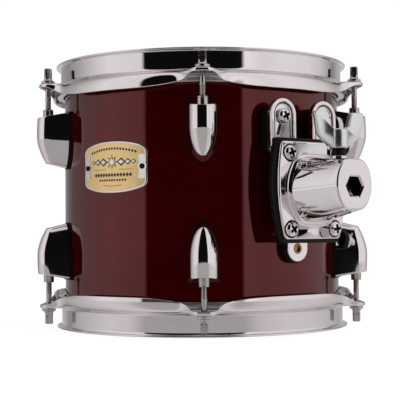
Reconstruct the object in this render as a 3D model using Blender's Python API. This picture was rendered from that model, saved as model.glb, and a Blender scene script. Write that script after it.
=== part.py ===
"""A 10 by 8 inch rack tom with suspended rim mount, in metres, +Z up.

The drum stands on its resonant rim. The mount's socket points along -Y. The origin is on the
ground, under the centre of the whole object, so the drum's own axis is at y = AXIS_Y.
Angles around the drum are in degrees, anticlockwise seen from above, with 0 along +X.
Pieces on the shell are drawn in a wall frame: x to the right as seen from outside, -y outwards
from the drum's axis, z up from the middle of the shell.
"""

import math

import bmesh
import bpy
from mathutils import Matrix, Vector

MM = 0.001
GAP = 0.3 * MM

# Shell
SHELL_RADIUS = 127.0 * MM
SHELL_DEPTH = 203.2 * MM
SHELL_WALL = 6.0 * MM
EDGE_RADIUS = 124.6 * MM
RING_STEPS = 60

# Hoops. Heights are from the bearing edge, positive away from the shell.
RIM_RISE = 18.0 * MM
STEEL = 1.6 * MM
HOOP_WALL_RADIUS = 130.45 * MM
LIP_RADIUS = 134.7 * MM
SKIRT_RADIUS = 137.5 * MM
SKIRT_BOTTOM = -14.9 * MM
SHELF = -0.9 * MM
EAR_REACH = 15.2 * MM
EAR_WIDTH_DEG = 4.9
EAR_BOTTOM = -4.2 * MM
SCALLOP_STEEP_DEG = 5.4
SCALLOP_WIDE_DEG = 13.0
EAR_HOLE_RADIUS = 3.2 * MM
EAR_STEPS_DEG = (0, 2.2, 4.0, 5.6, 7.8, 11.5, 17.5, 26)

# Heads
FILM = 0.5 * MM
FILM_COLLAR_RADIUS = 127.4 * MM
FLESH_INNER_RADIUS = 128.2 * MM
FLESH_OUTER_RADIUS = 134.0 * MM
FLESH_TOP = SHELF - STEEL - GAP
FLESH_BOTTOM = -10.9 * MM
COLLAR_DEPTH = 3.4 * MM

# Tension rods
ROD_COUNT = 5
ROD_STEP_DEG = 360 / ROD_COUNT
FIRST_ROD_DEG = -126
ROD_CIRCLE = 145.0 * MM
ROD_RADIUS = 2.75 * MM
SHANK_RADIUS = 2.5 * MM
ROD_SEAT = SHELF + GAP
ROD_LENGTH = 42.0 * MM
THREAD_START = -13.7 * MM
FLANGE_RADIUS = 6.1 * MM
KEY_HALF = 3.175 * MM
KEY_TOP = 13.1 * MM

# Lugs. Heights are from the middle of the shell.
LUG_ROD_END = 74.5 * MM
LUG_TIP_END = 24.8 * MM
LUG_BASE_HALF = 13.0 * MM
LUG_FACE_HALF = 9.0 * MM
LUG_REACH = 28.2 * MM
LUG_ROD_END_SLOPE = -0.19
LUG_TIP_END_SLOPE = 0.24
GASKET_RADIUS = SHELL_RADIUS + GAP
GASKET_THICKNESS = 1.2 * MM
GASKET_MARGIN = 1.1 * MM
LUG_BASE_RADIUS = GASKET_RADIUS + GASKET_THICKNESS + GAP
LUG_BORE_RADIUS = 4.9 * MM
LUG_BORE_DEPTH = 26.0 * MM
NUT_RADIUS = 4.6 * MM
NUT_BORE_RADIUS = 3.05 * MM
NUT_TOP = 77.3 * MM
NUT_BOTTOM = 58.0 * MM

# Badge and vent
BADGE_DEG = -163
BADGE_HALF_DEG = 16.2
BADGE_CENTRE = 22.4 * MM
BADGE_HALF_HEIGHT = 21.8 * MM
BADGE_END_HALF = 15.5 * MM
BADGE_THICKNESS = 0.9 * MM
VENT_DEG = 54
VENT_HOLE_RADIUS = 6.4 * MM

# Rim mount, in the wall frame of the mount's angle
MOUNT_DEG = -90
SEAT_FRONT = 139.8 * MM
BRACKET_BACK = SEAT_FRONT + GAP
BRACKET_FRONT = 145.4 * MM
PLATE_BACK = 152.0 * MM
PLATE_FRONT = 156.0 * MM
RECEIVER_REACH = 204.5 * MM
PLATE_TOP = 40.9 * MM
PLATE_BOTTOM = -39.5 * MM
PLATE_HALF = 37.0 * MM
PLATE_WIDEST = 6.5 * MM
PLATE_CURVE = 0.0033 / MM
PLATE_GASKET_MARGIN = 3.3 * MM
TAB_OFFSET = 22.5 * MM
TAB_CENTRE = 63.6 * MM
TAB_RADIUS = 13.5 * MM
BRACKET_HALF = 30.0 * MM
BRACKET_BOTTOM = -36.5 * MM
BRACKET_WEB = 4.0 * MM
BRACKET_SHOULDER = PLATE_TOP + 3.0 * MM
SEAT_HALF = 15.0 * MM
SEAT_INSET = 5.0 * MM
TAB_FOOT = PLATE_TOP - 6.0 * MM
TAB_NECK = PLATE_TOP - 14.0 * MM
LOW_TAB_CENTRE = -47.6 * MM
LOW_TAB_RADIUS = 11.0 * MM
LOW_TAB_FRONT = 135.5 * MM
LOW_TAB_BACK = 132.8 * MM
TAB_HOLE_RADIUS = 4.0 * MM
BARREL_BASE_HALF = (27.5 * MM, 28.0 * MM)
BARREL_FACE_HALF = (19.0 * MM, 20.6 * MM)
BARREL_BASE_CENTRE = 1.4 * MM
BARREL_FACE_CENTRE = 4.2 * MM
BARREL_FLATNESS = 1.12
SOCKET_ACROSS_FLATS = 15.4 * MM
SOCKET_CENTRE = 2.6 * MM
SOCKET_FLOOR = 160.5 * MM
SCREW_OFFSETS = ((-25.0, 31.4), (25.0, 31.4), (-24.0, -31.2), (24.0, -31.2))
SCREW_HEAD_RADIUS = 6.4 * MM
SCREW_HEAD = 3.2 * MM
SCREW_RADIUS = 2.5 * MM
SCREW_TIP = 141.0 * MM

# Wing bolt, on a vertical axis through the receiver
BOLT_CIRCLE = 186.0 * MM
BOLT_RADIUS = 4.0 * MM
BOLT_HOLE_RADIUS = 4.4 * MM
BOLT_REST_DEG = -3.5
SHOE_RADIUS = 6.0 * MM
SHOE_BOTTOM = SOCKET_CENTRE + SOCKET_ACROSS_FLATS / 2 + GAP
SHOE_THICKNESS = 3.0 * MM
SHOE_LIFT = 3.0 * MM
SLEEVE_BOTTOM = 27.4 * MM
HUB_BOTTOM = 34.1 * MM
HUB_TOP = 49.4 * MM
HUB_RADIUS = 8.0 * MM
SLEEVE_RADIUS = 5.75 * MM
COUNTERBORE_FLOOR = 23.9 * MM
WING_THICKNESS = 6.2 * MM
WING_OUTLINE = (
    (4.5, 34.9),
    (9.0, 34.9),
    (21.8, 43.4),
    (25.4, 61.6),
    (24.4, 63.3),
    (12.8, 63.1),
    (8.4, 50.2),
    (4.5, 48.9),
)

MID_Z = SHELL_DEPTH / 2 + RIM_RISE
BEARING_EDGE = SHELL_DEPTH / 2
LUG_OUTER_RADIUS = SHELL_RADIUS + LUG_REACH
AXIS_Y = (RECEIVER_REACH - LUG_OUTER_RADIUS) / 2


def clear_scene():
    for old in list(bpy.data.objects):
        bpy.data.objects.remove(old)


def make_material(name, colour, metallic, roughness):
    material = bpy.data.materials.new(name)
    material.use_nodes = True
    shader = material.node_tree.nodes["Principled BSDF"]
    shader.inputs["Base Color"].default_value = (*colour, 1)
    shader.inputs["Metallic"].default_value = metallic
    shader.inputs["Roughness"].default_value = roughness
    return material


def add_object(name, points, faces, material):
    """A named mesh object with its faces turned outwards."""
    mesh = bpy.data.meshes.new(name)
    build = bmesh.new()
    corners = [build.verts.new(point) for point in points]
    for face in faces:
        build.faces.new([corners[index] for index in face])
    bmesh.ops.recalc_face_normals(build, faces=build.faces)
    build.to_mesh(mesh)
    build.free()
    if material:
        mesh.materials.append(material)
    mesh.shade_smooth()
    mesh.set_sharp_from_angle(angle=math.radians(35))
    thing = bpy.data.objects.new(name, mesh)
    bpy.context.scene.collection.objects.link(thing)
    return thing


def loft(name, loops, material):
    """A solid through closed loops of equal length, with flat ends."""
    count = len(loops[0])
    points = [point for loop in loops for point in loop]
    faces = [list(range(count)), list(range(len(points) - count, len(points)))]
    for row in range(len(loops) - 1):
        for column in range(count):
            after = (column + 1) % count
            here = row * count
            faces.append([here + column, here + after, here + count + after, here + count + column])
    return add_object(name, points, faces, material)


def ring(name, sections, material):
    """A closed band through sections that run once round the drum's axis."""
    count = len(sections[0])
    points = [point for section in sections for point in section]
    faces = []
    for row in range(len(sections)):
        start = row * count
        following = (row + 1) % len(sections) * count
        for column in range(count):
            after = (column + 1) % count
            faces.append([start + column, start + after, following + after, following + column])
    return add_object(name, points, faces, material)


def polar(radius, angle_deg, height):
    angle = math.radians(angle_deg)
    return Vector((radius * math.cos(angle), radius * math.sin(angle), height))


def turned_ring(name, profile, steps, material):
    """A ring turned about z from a closed profile of (radius, height)."""
    sections = []
    for step in range(steps):
        sections.append([polar(radius, 360 * step / steps, height) for radius, height in profile])
    return ring(name, sections, material)


def turned_solid(name, profile, steps, material):
    """A solid turned about z from (radius, height) points off the axis."""
    loops = []
    for radius, height in profile:
        loops.append([polar(radius, 360 * step / steps, height) for step in range(steps)])
    return loft(name, loops, material)


def prism(name, outline, front, back, material):
    """An (x, z) outline in the wall frame, from one distance off the drum's axis to another."""
    loops = [[Vector((x, -reach, z)) for x, z in outline] for reach in (back, front)]
    return loft(name, loops, material)


def arc(centre_x, centre_z, radius, start_deg, end_deg, count):
    points = []
    for step in range(count + 1):
        angle = math.radians(start_deg + (end_deg - start_deg) * step / count)
        points.append((centre_x + radius * math.cos(angle), centre_z + radius * math.sin(angle)))
    return points


def circle(centre_x, centre_z, radius, count):
    return arc(centre_x, centre_z, radius, 0, 360 - 360 / count, count - 1)


def place_on_wall(thing, angle_deg, upside_down=False):
    thing.location = (0, AXIS_Y, MID_Z)
    thing.rotation_euler = (0, math.pi if upside_down else 0, math.radians(angle_deg + 90))
    return thing


def place_on_axis(thing, upside_down=False):
    thing.location = (0, AXIS_Y, MID_Z)
    thing.rotation_euler = (math.pi if upside_down else 0, 0, 0)
    return thing


def combine(thing, other, operation, solver="EXACT"):
    modifier = thing.modifiers.new(operation.lower() + "_" + other.name, "BOOLEAN")
    modifier.operation = operation
    modifier.solver = solver
    modifier.object = other
    other.hide_render = True
    other.display_type = "WIRE"


def cut(thing, other, solver="EXACT"):
    combine(thing, other, "DIFFERENCE", solver)


def rod_angles():
    return [FIRST_ROD_DEG + ROD_STEP_DEG * index for index in range(ROD_COUNT)]


# Shell, heads and hoops


def make_vent_cutter():
    outline = circle(0, 0, VENT_HOLE_RADIUS, 12)
    cutter = prism("vent_cutter", outline, SHELL_RADIUS + 9 * MM, SHELL_RADIUS - 15 * MM, None)
    return place_on_wall(cutter, VENT_DEG)


def make_shell(lacquer, vent_cutter):
    inner = SHELL_RADIUS - SHELL_WALL
    inner_cut = BEARING_EDGE - (EDGE_RADIUS - inner)
    outer_cut = BEARING_EDGE - 1.6 * MM
    top = [(SHELL_RADIUS, outer_cut), (EDGE_RADIUS, BEARING_EDGE), (inner, inner_cut)]
    bottom = [(radius, -height) for radius, height in reversed(top)]
    shell = place_on_axis(turned_ring("shell", top + bottom, RING_STEPS, lacquer))
    cut(shell, vent_cutter)


def make_vent_grommet(metal):
    """A flanged eyelet whose tube passes through the shell wall."""
    inner = SHELL_RADIUS - SHELL_WALL
    tube = VENT_HOLE_RADIUS - GAP
    profile = [
        (4.8 * MM, inner - 1.5 * MM),
        (tube, inner - 1.5 * MM),
        (tube, SHELL_RADIUS + GAP),
        (9.5 * MM, SHELL_RADIUS + GAP),
        (8.6 * MM, SHELL_RADIUS + 1.8 * MM),
        (5.8 * MM, SHELL_RADIUS + 2.2 * MM),
        (4.8 * MM, SHELL_RADIUS + 1.4 * MM),
    ]
    grommet = turned_ring("vent_grommet", profile, 16, metal)
    grommet.data.transform(Matrix.Rotation(math.pi / 2, 4, "X"))
    place_on_wall(grommet, VENT_DEG)


def make_head(side, upside_down, film_material, metal):
    """The film with its collar, and the flesh hoop round the collar."""
    top = BEARING_EDGE + GAP
    outer = FILM_COLLAR_RADIUS + FILM
    bottom = BEARING_EDGE - COLLAR_DEPTH
    profile = [
        (1 * MM, top),
        (EDGE_RADIUS + 0.2 * MM, top),
        (FILM_COLLAR_RADIUS, top - 2.0 * MM),
        (FILM_COLLAR_RADIUS, bottom),
        (outer, bottom),
        (outer, top - 1.6 * MM),
        (EDGE_RADIUS + 0.6 * MM, top + FILM),
        (1 * MM, top + FILM),
    ]
    film = turned_solid(side + "_head_film", profile, RING_STEPS, film_material)
    place_on_axis(film, upside_down)
    high = BEARING_EDGE + FLESH_TOP
    low = BEARING_EDGE + FLESH_BOTTOM
    inner, outer = FLESH_INNER_RADIUS, FLESH_OUTER_RADIUS
    section = [(inner, low), (outer, low), (outer, high), (inner, high)]
    place_on_axis(turned_ring(side + "_flesh_hoop", section, RING_STEPS, metal), upside_down)


def ear_bulge(offset_deg):
    """How far the skirt stands out at this angle from the nearest rod."""
    return EAR_REACH / (1 + (offset_deg / EAR_WIDTH_DEG) ** 4)


def skirt_bottom(offset_deg):
    """The skirt's lower edge, which arches up to each ear."""
    steep = 1 / (1 + abs(offset_deg / SCALLOP_STEEP_DEG) ** 7)
    wide = math.exp(-((offset_deg / SCALLOP_WIDE_DEG) ** 2))
    return SKIRT_BOTTOM + (EAR_BOTTOM - SKIRT_BOTTOM) * (steep + wide) / 2


def hoop_profile(offset_deg):
    """The pressed section at one angle: rolled lip, wall, shelf and skirt."""
    wall = HOOP_WALL_RADIUS
    inner = wall - STEEL
    skirt = SKIRT_RADIUS + ear_bulge(offset_deg)
    bottom = skirt_bottom(offset_deg)
    under = SHELF - STEEL
    return [
        (inner, RIM_RISE - 4.0 * MM),
        (inner + 1.6 * MM, RIM_RISE),
        (LIP_RADIUS, RIM_RISE),
        (LIP_RADIUS, RIM_RISE - 1.5 * MM),
        (wall, RIM_RISE - 4.2 * MM),
        (wall, 2.0 * MM),
        (wall + 2.6 * MM, SHELF),
        (skirt - 1.6 * MM, SHELF),
        (skirt, SHELF - 2.2 * MM),
        (skirt, bottom),
        (skirt - STEEL, bottom),
        (skirt - STEEL - 0.6 * MM, under),
        (wall + 0.6 * MM, under),
        (inner, 0.4 * MM),
    ]


def make_hoop(side, upside_down, chrome):
    sections = []
    before = [-step for step in reversed(EAR_STEPS_DEG[1:])]
    for rod_angle in rod_angles():
        for offset in before + list(EAR_STEPS_DEG) + [ROD_STEP_DEG / 2]:
            profile = hoop_profile(offset)
            angle = -rod_angle - offset if upside_down else rod_angle + offset
            sections.append([polar(radius, angle, BEARING_EDGE + height) for radius, height in profile])
    hoop = place_on_axis(ring(side + "_hoop", sections, chrome), upside_down)
    for index, rod_angle in enumerate(rod_angles()):
        profile = [(EAR_HOLE_RADIUS, -6 * MM), (EAR_HOLE_RADIUS, 4 * MM)]
        hole = turned_solid(f"{side}_ear_cutter_{index + 1}", profile, 12, None)
        stand_at_rod(hole, rod_angle, upside_down)
        cut(hoop, hole, "MANIFOLD")


# Tension rods and lugs


def stand_at_rod(thing, angle_deg, upside_down):
    """Puts a piece that is drawn about its own z axis, from the bearing edge up, on a rod's line."""
    spot = polar(ROD_CIRCLE, angle_deg, 0)
    edge = -BEARING_EDGE if upside_down else BEARING_EDGE
    thing.location = spot + Vector((0, AXIS_Y, MID_Z + edge))
    thing.rotation_euler = (math.pi if upside_down else 0, 0, math.radians(angle_deg))
    return thing


def round_loop(radius, height):
    return [polar(radius, 45 * step + 22.5, height) for step in range(8)]


def square_loop(half, height):
    """A square with small cut corners, as eight points in the same order as a round loop."""
    side = half * 0.72
    corners = [(half, side), (side, half), (-side, half), (-half, side)]
    corners += [(-x, -y) for x, y in corners]
    return [Vector((x, y, height)) for x, y in corners]


def make_rod(name, angle_deg, upside_down, steel):
    seat = ROD_SEAT
    tip = seat - ROD_LENGTH
    loops = [
        round_loop(ROD_RADIUS - 0.8 * MM, tip),
        round_loop(ROD_RADIUS, tip + 1.2 * MM),
        round_loop(ROD_RADIUS, THREAD_START),
        round_loop(SHANK_RADIUS, THREAD_START + 0.5 * MM),
        round_loop(SHANK_RADIUS, seat),
        round_loop(FLANGE_RADIUS, seat),
        round_loop(FLANGE_RADIUS, seat + 2.2 * MM),
        round_loop(FLANGE_RADIUS - 1.2 * MM, seat + 2.6 * MM),
        square_loop(KEY_HALF, seat + 5.6 * MM),
        square_loop(KEY_HALF, KEY_TOP - 0.5 * MM),
        square_loop(KEY_HALF - 0.4 * MM, KEY_TOP),
    ]
    stand_at_rod(loft(name, loops, steel), angle_deg, upside_down)


def make_nut(name, angle_deg, upside_down, steel):
    high = NUT_TOP - BEARING_EDGE
    low = NUT_BOTTOM - BEARING_EDGE
    profile = [(NUT_BORE_RADIUS, low), (NUT_RADIUS, low), (NUT_RADIUS, high), (NUT_BORE_RADIUS, high)]
    stand_at_rod(turned_ring(name, profile, 12, steel), angle_deg, upside_down)


def lug_stations():
    """(position from tip end to rod end, width share, reach share) along the lug."""
    return (
        (0.0, 0.30, 0.66),
        (0.04, 0.55, 0.72),
        (0.10, 0.75, 0.78),
        (0.20, 0.92, 0.86),
        (0.36, 1.0, 0.94),
        (0.60, 1.0, 1.0),
        (0.85, 1.0, 1.0),
        (1.0, 1.0, 0.97),
    )


def lug_loop(position, width, reach):
    """One tilted slice of a lug: an arc on the gasket, straight flanks and a crowned face."""
    height = LUG_TIP_END + (LUG_ROD_END - LUG_TIP_END) * position
    slope = LUG_TIP_END_SLOPE + (LUG_ROD_END_SLOPE - LUG_TIP_END_SLOPE) * position
    base = LUG_BASE_HALF * width
    face = LUG_FACE_HALF * width
    outer = LUG_BASE_RADIUS + (LUG_OUTER_RADIUS - LUG_BASE_RADIUS) * reach
    foot = [base * share for share in (-1, -0.5, 0, 0.5, 1)]
    points = [(x, math.sqrt(LUG_BASE_RADIUS**2 - x**2)) for x in foot]
    points += [(face, outer - 2.6 * MM), (face * 0.62, outer - 0.6 * MM), (0, outer)]
    points += [(-face * 0.62, outer - 0.6 * MM), (-face, outer - 2.6 * MM)]
    return [Vector((x, -radius, height + slope * (radius - LUG_BASE_RADIUS))) for x, radius in points]


def make_lug(name, angle_deg, upside_down, chrome):
    lug = loft(name, [lug_loop(*station) for station in lug_stations()], chrome)
    place_on_wall(lug, angle_deg, upside_down)
    high = LUG_ROD_END - BEARING_EDGE + 5 * MM
    profile = [(LUG_BORE_RADIUS, high - LUG_BORE_DEPTH - 5 * MM), (LUG_BORE_RADIUS, high)]
    bore = stand_at_rod(turned_solid(name + "_bore_cutter", profile, 12, None), angle_deg, upside_down)
    cut(lug, bore)


def make_lug_gasket(name, angle_deg, upside_down, rubber):
    """A thin curved pad, a little wider than the lug's foot all round."""
    inner = GASKET_RADIUS
    outer = GASKET_RADIUS + GASKET_THICKNESS
    low = LUG_TIP_END - GASKET_MARGIN
    high = LUG_ROD_END + GASKET_MARGIN
    loops = []
    for position, width in ((0, 0.36), (0.05, 0.66), (0.14, 0.9), (0.3, 1.0), (1.0, 1.0)):
        half = (LUG_BASE_HALF + GASKET_MARGIN) * width
        height = low + (high - low) * position
        across = [-half, -half / 2, 0, half / 2, half]
        loop = [Vector((x, -math.sqrt(inner**2 - x**2), height)) for x in across]
        loop += [Vector((x, -math.sqrt(outer**2 - x**2), height)) for x in reversed(across)]
        loops.append(loop)
    place_on_wall(loft(name, loops, rubber), angle_deg, upside_down)


def make_lugs_and_rods(side, upside_down, chrome, steel, rubber):
    for index, angle in enumerate(rod_angles()):
        number = index + 1
        make_lug(f"{side}_lug_{number}", angle, upside_down, chrome)
        make_lug_gasket(f"{side}_lug_gasket_{number}", angle, upside_down, rubber)
        make_nut(f"{side}_swivel_nut_{number}", angle, upside_down, steel)
        make_rod(f"{side}_tension_rod_{number}", angle, upside_down, steel)


# Badge


def make_badge(metal):
    """A thin curved plate with crowned top and bottom edges."""
    steps = 12
    loops = []
    for step in range(steps + 1):
        share = 2 * step / steps - 1
        angle = -90 + BADGE_HALF_DEG * share
        half = BADGE_END_HALF + (BADGE_HALF_HEIGHT - BADGE_END_HALF) * (1 - abs(share) ** 2.4)
        inner = SHELL_RADIUS + GAP
        outer = inner + BADGE_THICKNESS
        corners = ((inner, -half), (outer, -half), (outer, half), (inner, half))
        loops.append([polar(radius, angle, BADGE_CENTRE + height) for radius, height in corners])
    place_on_wall(loft("badge", loops, metal), BADGE_DEG)


# Rim mount


def bracket_outline(half, radius, bottom):
    """A body this half wide, with two round tabs of this radius on top."""
    outline = [(-half, bottom), (half, bottom), (half, TAB_NECK), (TAB_OFFSET + radius, TAB_FOOT)]
    outline += arc(TAB_OFFSET, TAB_CENTRE, radius, 0, 180, 8)
    outline += [(TAB_OFFSET - radius, BRACKET_SHOULDER), (radius - TAB_OFFSET, BRACKET_SHOULDER)]
    outline += arc(-TAB_OFFSET, TAB_CENTRE, radius, 0, 180, 8)
    outline += [(-TAB_OFFSET - radius, TAB_FOOT), (-half, TAB_NECK)]
    return outline


def low_tab_outline(margin, top):
    radius = LOW_TAB_RADIUS + margin
    return arc(0, LOW_TAB_CENTRE, radius, 180, 360, 8) + [(radius, top), (-radius, top)]


def plate_outline(margin):
    """The receiver's flange: bowed sides between a straight top and bottom."""
    heights = [PLATE_BOTTOM + (PLATE_TOP - PLATE_BOTTOM) * step / 6 for step in range(7)]
    corner = 2.5 * MM
    heights = [heights[0] + corner] + heights[1:-1] + [heights[-1] - corner]
    sides = [(PLATE_HALF - PLATE_CURVE * (height - PLATE_WIDEST) ** 2 + margin, height) for height in heights]
    low_half = sides[0][0] - corner
    high_half = sides[-1][0] - corner
    right = [(low_half, PLATE_BOTTOM - margin)] + sides + [(high_half, PLATE_TOP + margin)]
    return right + [(-x, z) for x, z in reversed(right)]


def make_screw_cutters():
    """Clearance holes through the flange, its gasket and the bracket."""
    cutters = []
    for index, (x, z) in enumerate(SCREW_OFFSETS):
        outline = circle(x * MM, z * MM, SCREW_RADIUS + GAP, 10)
        name = f"mount_screw_cutter_{index + 1}"
        cutter = prism(name, outline, PLATE_FRONT + 8 * MM, SCREW_TIP - 3 * MM, None)
        cutters.append(place_on_wall(cutter, MOUNT_DEG))
    return cutters


def make_tab_cutters():
    """Holes for the screws that hold the bracket to the shell."""
    cutters = []
    spots = ((-TAB_OFFSET, TAB_CENTRE), (TAB_OFFSET, TAB_CENTRE), (0, LOW_TAB_CENTRE))
    for index, (x, z) in enumerate(spots):
        outline = circle(x, z, TAB_HOLE_RADIUS, 12)
        cutter = prism(f"tab_cutter_{index + 1}", outline, 160 * MM, SHELL_RADIUS - 1 * MM, None)
        cutters.append(place_on_wall(cutter, MOUNT_DEG))
    return cutters


def make_mount_seat(rubber, tab_cutters):
    """The rubber block that keeps the bracket off the shell."""
    bottom = BRACKET_BOTTOM + BRACKET_WEB + 2 * GAP
    outline = bracket_outline(SEAT_HALF, TAB_RADIUS - SEAT_INSET, bottom)
    seat = prism("mount_seat", outline, SEAT_FRONT, SHELL_RADIUS - 12 * MM, rubber)
    place_on_wall(seat, MOUNT_DEG)
    outline = low_tab_outline(1.6 * MM, bottom + 3 * MM)
    low = prism("seat_low_pad", outline, LOW_TAB_BACK - GAP, SHELL_RADIUS - 11 * MM, None)
    combine(seat, place_on_wall(low, MOUNT_DEG), "UNION")
    profile = [(GASKET_RADIUS, -SHELL_DEPTH), (GASKET_RADIUS, SHELL_DEPTH)]
    cut(seat, place_on_axis(turned_solid("seat_back_cutter", profile, RING_STEPS, None)))
    for cutter in tab_cutters:
        cut(seat, cutter)


def make_mount_bracket(chrome, holes):
    """The bracket's face, and a low tab that a web carries back towards the shell."""
    outline = bracket_outline(BRACKET_HALF, TAB_RADIUS, BRACKET_BOTTOM)
    bracket = prism("mount_bracket", outline, BRACKET_FRONT, BRACKET_BACK, chrome)
    place_on_wall(bracket, MOUNT_DEG)
    top = BRACKET_BOTTOM + BRACKET_WEB
    low = prism("bracket_low_tab", low_tab_outline(0, top), LOW_TAB_FRONT, LOW_TAB_BACK, None)
    combine(bracket, place_on_wall(low, MOUNT_DEG), "UNION")
    half = LOW_TAB_RADIUS - 1 * MM
    low_z = BRACKET_BOTTOM + 0.5 * MM
    high_z = top - 0.5 * MM
    outline = [(-half, low_z), (half, low_z), (half, high_z), (-half, high_z)]
    web = prism("bracket_web", outline, BRACKET_FRONT - 1 * MM, LOW_TAB_BACK + 0.8 * MM, None)
    combine(bracket, place_on_wall(web, MOUNT_DEG), "UNION")
    for hole in holes:
        cut(bracket, hole)


def make_receiver_gasket(rubber, screw_cutters):
    outline = plate_outline(PLATE_GASKET_MARGIN)
    gasket = prism("receiver_gasket", outline, PLATE_BACK - GAP, BRACKET_FRONT + GAP, rubber)
    place_on_wall(gasket, MOUNT_DEG)
    for cutter in screw_cutters:
        cut(gasket, cutter)


def barrel_loop(reach, half, centre):
    """An oval slice of the receiver with its top and bottom cut flat."""
    points = []
    for step in range(20):
        angle = math.radians(18 * step + 9)
        height = max(-1, min(1, BARREL_FLATNESS * math.sin(angle)))
        points.append(Vector((half[0] * math.cos(angle), -reach, centre + half[1] * height)))
    return points


def make_receiver(chrome, screw_cutters):
    """The die-cast receiver: flange and barrel in one, with the socket and the bolt's bore."""
    receiver = prism("receiver_housing", plate_outline(0), PLATE_FRONT, PLATE_BACK, chrome)
    place_on_wall(receiver, MOUNT_DEG)
    base = PLATE_FRONT - 2 * MM
    loops = [
        barrel_loop(base, BARREL_BASE_HALF, BARREL_BASE_CENTRE),
        barrel_loop(RECEIVER_REACH - 1 * MM, BARREL_FACE_HALF, BARREL_FACE_CENTRE),
        barrel_loop(RECEIVER_REACH, [half - 0.9 * MM for half in BARREL_FACE_HALF], BARREL_FACE_CENTRE),
    ]
    combine(receiver, place_on_wall(loft("receiver_barrel", loops, None), MOUNT_DEG), "UNION")
    corner = SOCKET_ACROSS_FLATS / math.sqrt(3)
    outline = circle(0, SOCKET_CENTRE, corner, 6)
    socket = prism("socket_cutter", outline, RECEIVER_REACH + 5 * MM, SOCKET_FLOOR, None)
    cut(receiver, place_on_wall(socket, MOUNT_DEG))
    pocket_top = SHOE_BOTTOM + SHOE_THICKNESS + SHOE_LIFT + GAP
    profiles = (
        ("shoe_pocket_cutter", SHOE_RADIUS + GAP, SOCKET_CENTRE, pocket_top),
        ("bolt_bore_cutter", BOLT_HOLE_RADIUS, pocket_top - 1 * MM, HUB_BOTTOM),
        ("sleeve_bore_cutter", SLEEVE_RADIUS + 2 * GAP, COUNTERBORE_FLOOR, HUB_BOTTOM),
    )
    for name, radius, low, high in profiles:
        cut(receiver, place_on_bolt(turned_solid(name, [(radius, low), (radius, high)], 16, None)))
    for cutter in screw_cutters:
        cut(receiver, cutter)


def make_receiver_screws(steel):
    for index, (x, z) in enumerate(SCREW_OFFSETS):
        seat = PLATE_FRONT + GAP
        profile = [
            (SCREW_RADIUS, SCREW_TIP),
            (SCREW_RADIUS, seat),
            (SCREW_HEAD_RADIUS, seat),
            (SCREW_HEAD_RADIUS - 0.3 * MM, seat + 1.2 * MM),
            (SCREW_HEAD_RADIUS * 0.72, seat + SCREW_HEAD - 0.6 * MM),
            (SCREW_HEAD_RADIUS * 0.35, seat + SCREW_HEAD),
        ]
        screw = turned_solid(f"receiver_screw_{index + 1}", profile, 10, steel)
        screw.data.transform(Matrix.Translation((x * MM, 0, z * MM)) @ Matrix.Rotation(math.pi / 2, 4, "X"))
        place_on_wall(screw, MOUNT_DEG)


# Wing bolt


def place_on_bolt(thing, turn_deg=0):
    thing.location = (0, AXIS_Y - BOLT_CIRCLE, MID_Z)
    thing.rotation_euler = (0, 0, math.radians(turn_deg))
    return thing


def make_wing_bolt(satin):
    tip = SHOE_BOTTOM + SHOE_THICKNESS + GAP
    profile = [
        (BOLT_RADIUS - 0.8 * MM, tip),
        (BOLT_RADIUS, tip + 0.8 * MM),
        (BOLT_RADIUS, HUB_BOTTOM),
        (HUB_RADIUS, HUB_BOTTOM),
        (HUB_RADIUS, HUB_TOP - 0.8 * MM),
        (HUB_RADIUS - 0.8 * MM, HUB_TOP),
    ]
    bolt = place_on_bolt(turned_solid("wing_bolt", profile, 12, satin), BOLT_REST_DEG)
    for side, sign in (("right", 1), ("left", -1)):
        half = WING_THICKNESS / 2
        loops = [[Vector((sign * x * MM, y, z * MM)) for x, z in WING_OUTLINE] for y in (-half, half)]
        combine(bolt, place_on_bolt(loft(side + "_wing", loops, None), BOLT_REST_DEG), "UNION")


def make_sleeve(black):
    inner = BOLT_RADIUS + GAP
    high = HUB_BOTTOM - GAP
    profile = [(inner, SLEEVE_BOTTOM), (SLEEVE_RADIUS, SLEEVE_BOTTOM), (SLEEVE_RADIUS, high), (inner, high)]
    place_on_bolt(turned_ring("bolt_sleeve", profile, 16, black))


def make_clamp_shoe(steel):
    high = SHOE_BOTTOM + SHOE_THICKNESS
    profile = [(SHOE_RADIUS, SHOE_BOTTOM), (SHOE_RADIUS, high)]
    place_on_bolt(turned_solid("clamp_shoe", profile, 16, steel))


def make_mount(chrome, steel, satin, rubber):
    screw_cutters = make_screw_cutters()
    tab_cutters = make_tab_cutters()
    make_mount_seat(rubber, tab_cutters)
    make_mount_bracket(chrome, screw_cutters + tab_cutters)
    make_receiver_gasket(rubber, screw_cutters)
    make_receiver(chrome, screw_cutters)
    make_receiver_screws(steel)
    make_wing_bolt(satin)
    make_sleeve(rubber)
    make_clamp_shoe(steel)


def main():
    clear_scene()
    lacquer = make_material("cranberry_lacquer", (0.09, 0.004, 0.008), 0, 0.08)
    chrome = make_material("chrome", (0.78, 0.78, 0.8), 1, 0.06)
    steel = make_material("plated_steel", (0.62, 0.6, 0.58), 1, 0.2)
    satin = make_material("satin_metal", (0.6, 0.6, 0.6), 1, 0.4)
    film = make_material("clear_film", (0.85, 0.87, 0.88), 0, 0.15)
    rubber = make_material("black_rubber", (0.012, 0.012, 0.012), 0, 0.5)
    gold = make_material("badge_gold", (0.75, 0.58, 0.28), 1, 0.35)
    make_shell(lacquer, make_vent_cutter())
    make_vent_grommet(steel)
    for side, upside_down in (("batter", False), ("resonant", True)):
        make_head(side, upside_down, film, steel)
        make_hoop(side, upside_down, chrome)
        make_lugs_and_rods(side, upside_down, chrome, steel, rubber)
    make_badge(gold)
    make_mount(chrome, steel, satin, rubber)


main()
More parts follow.
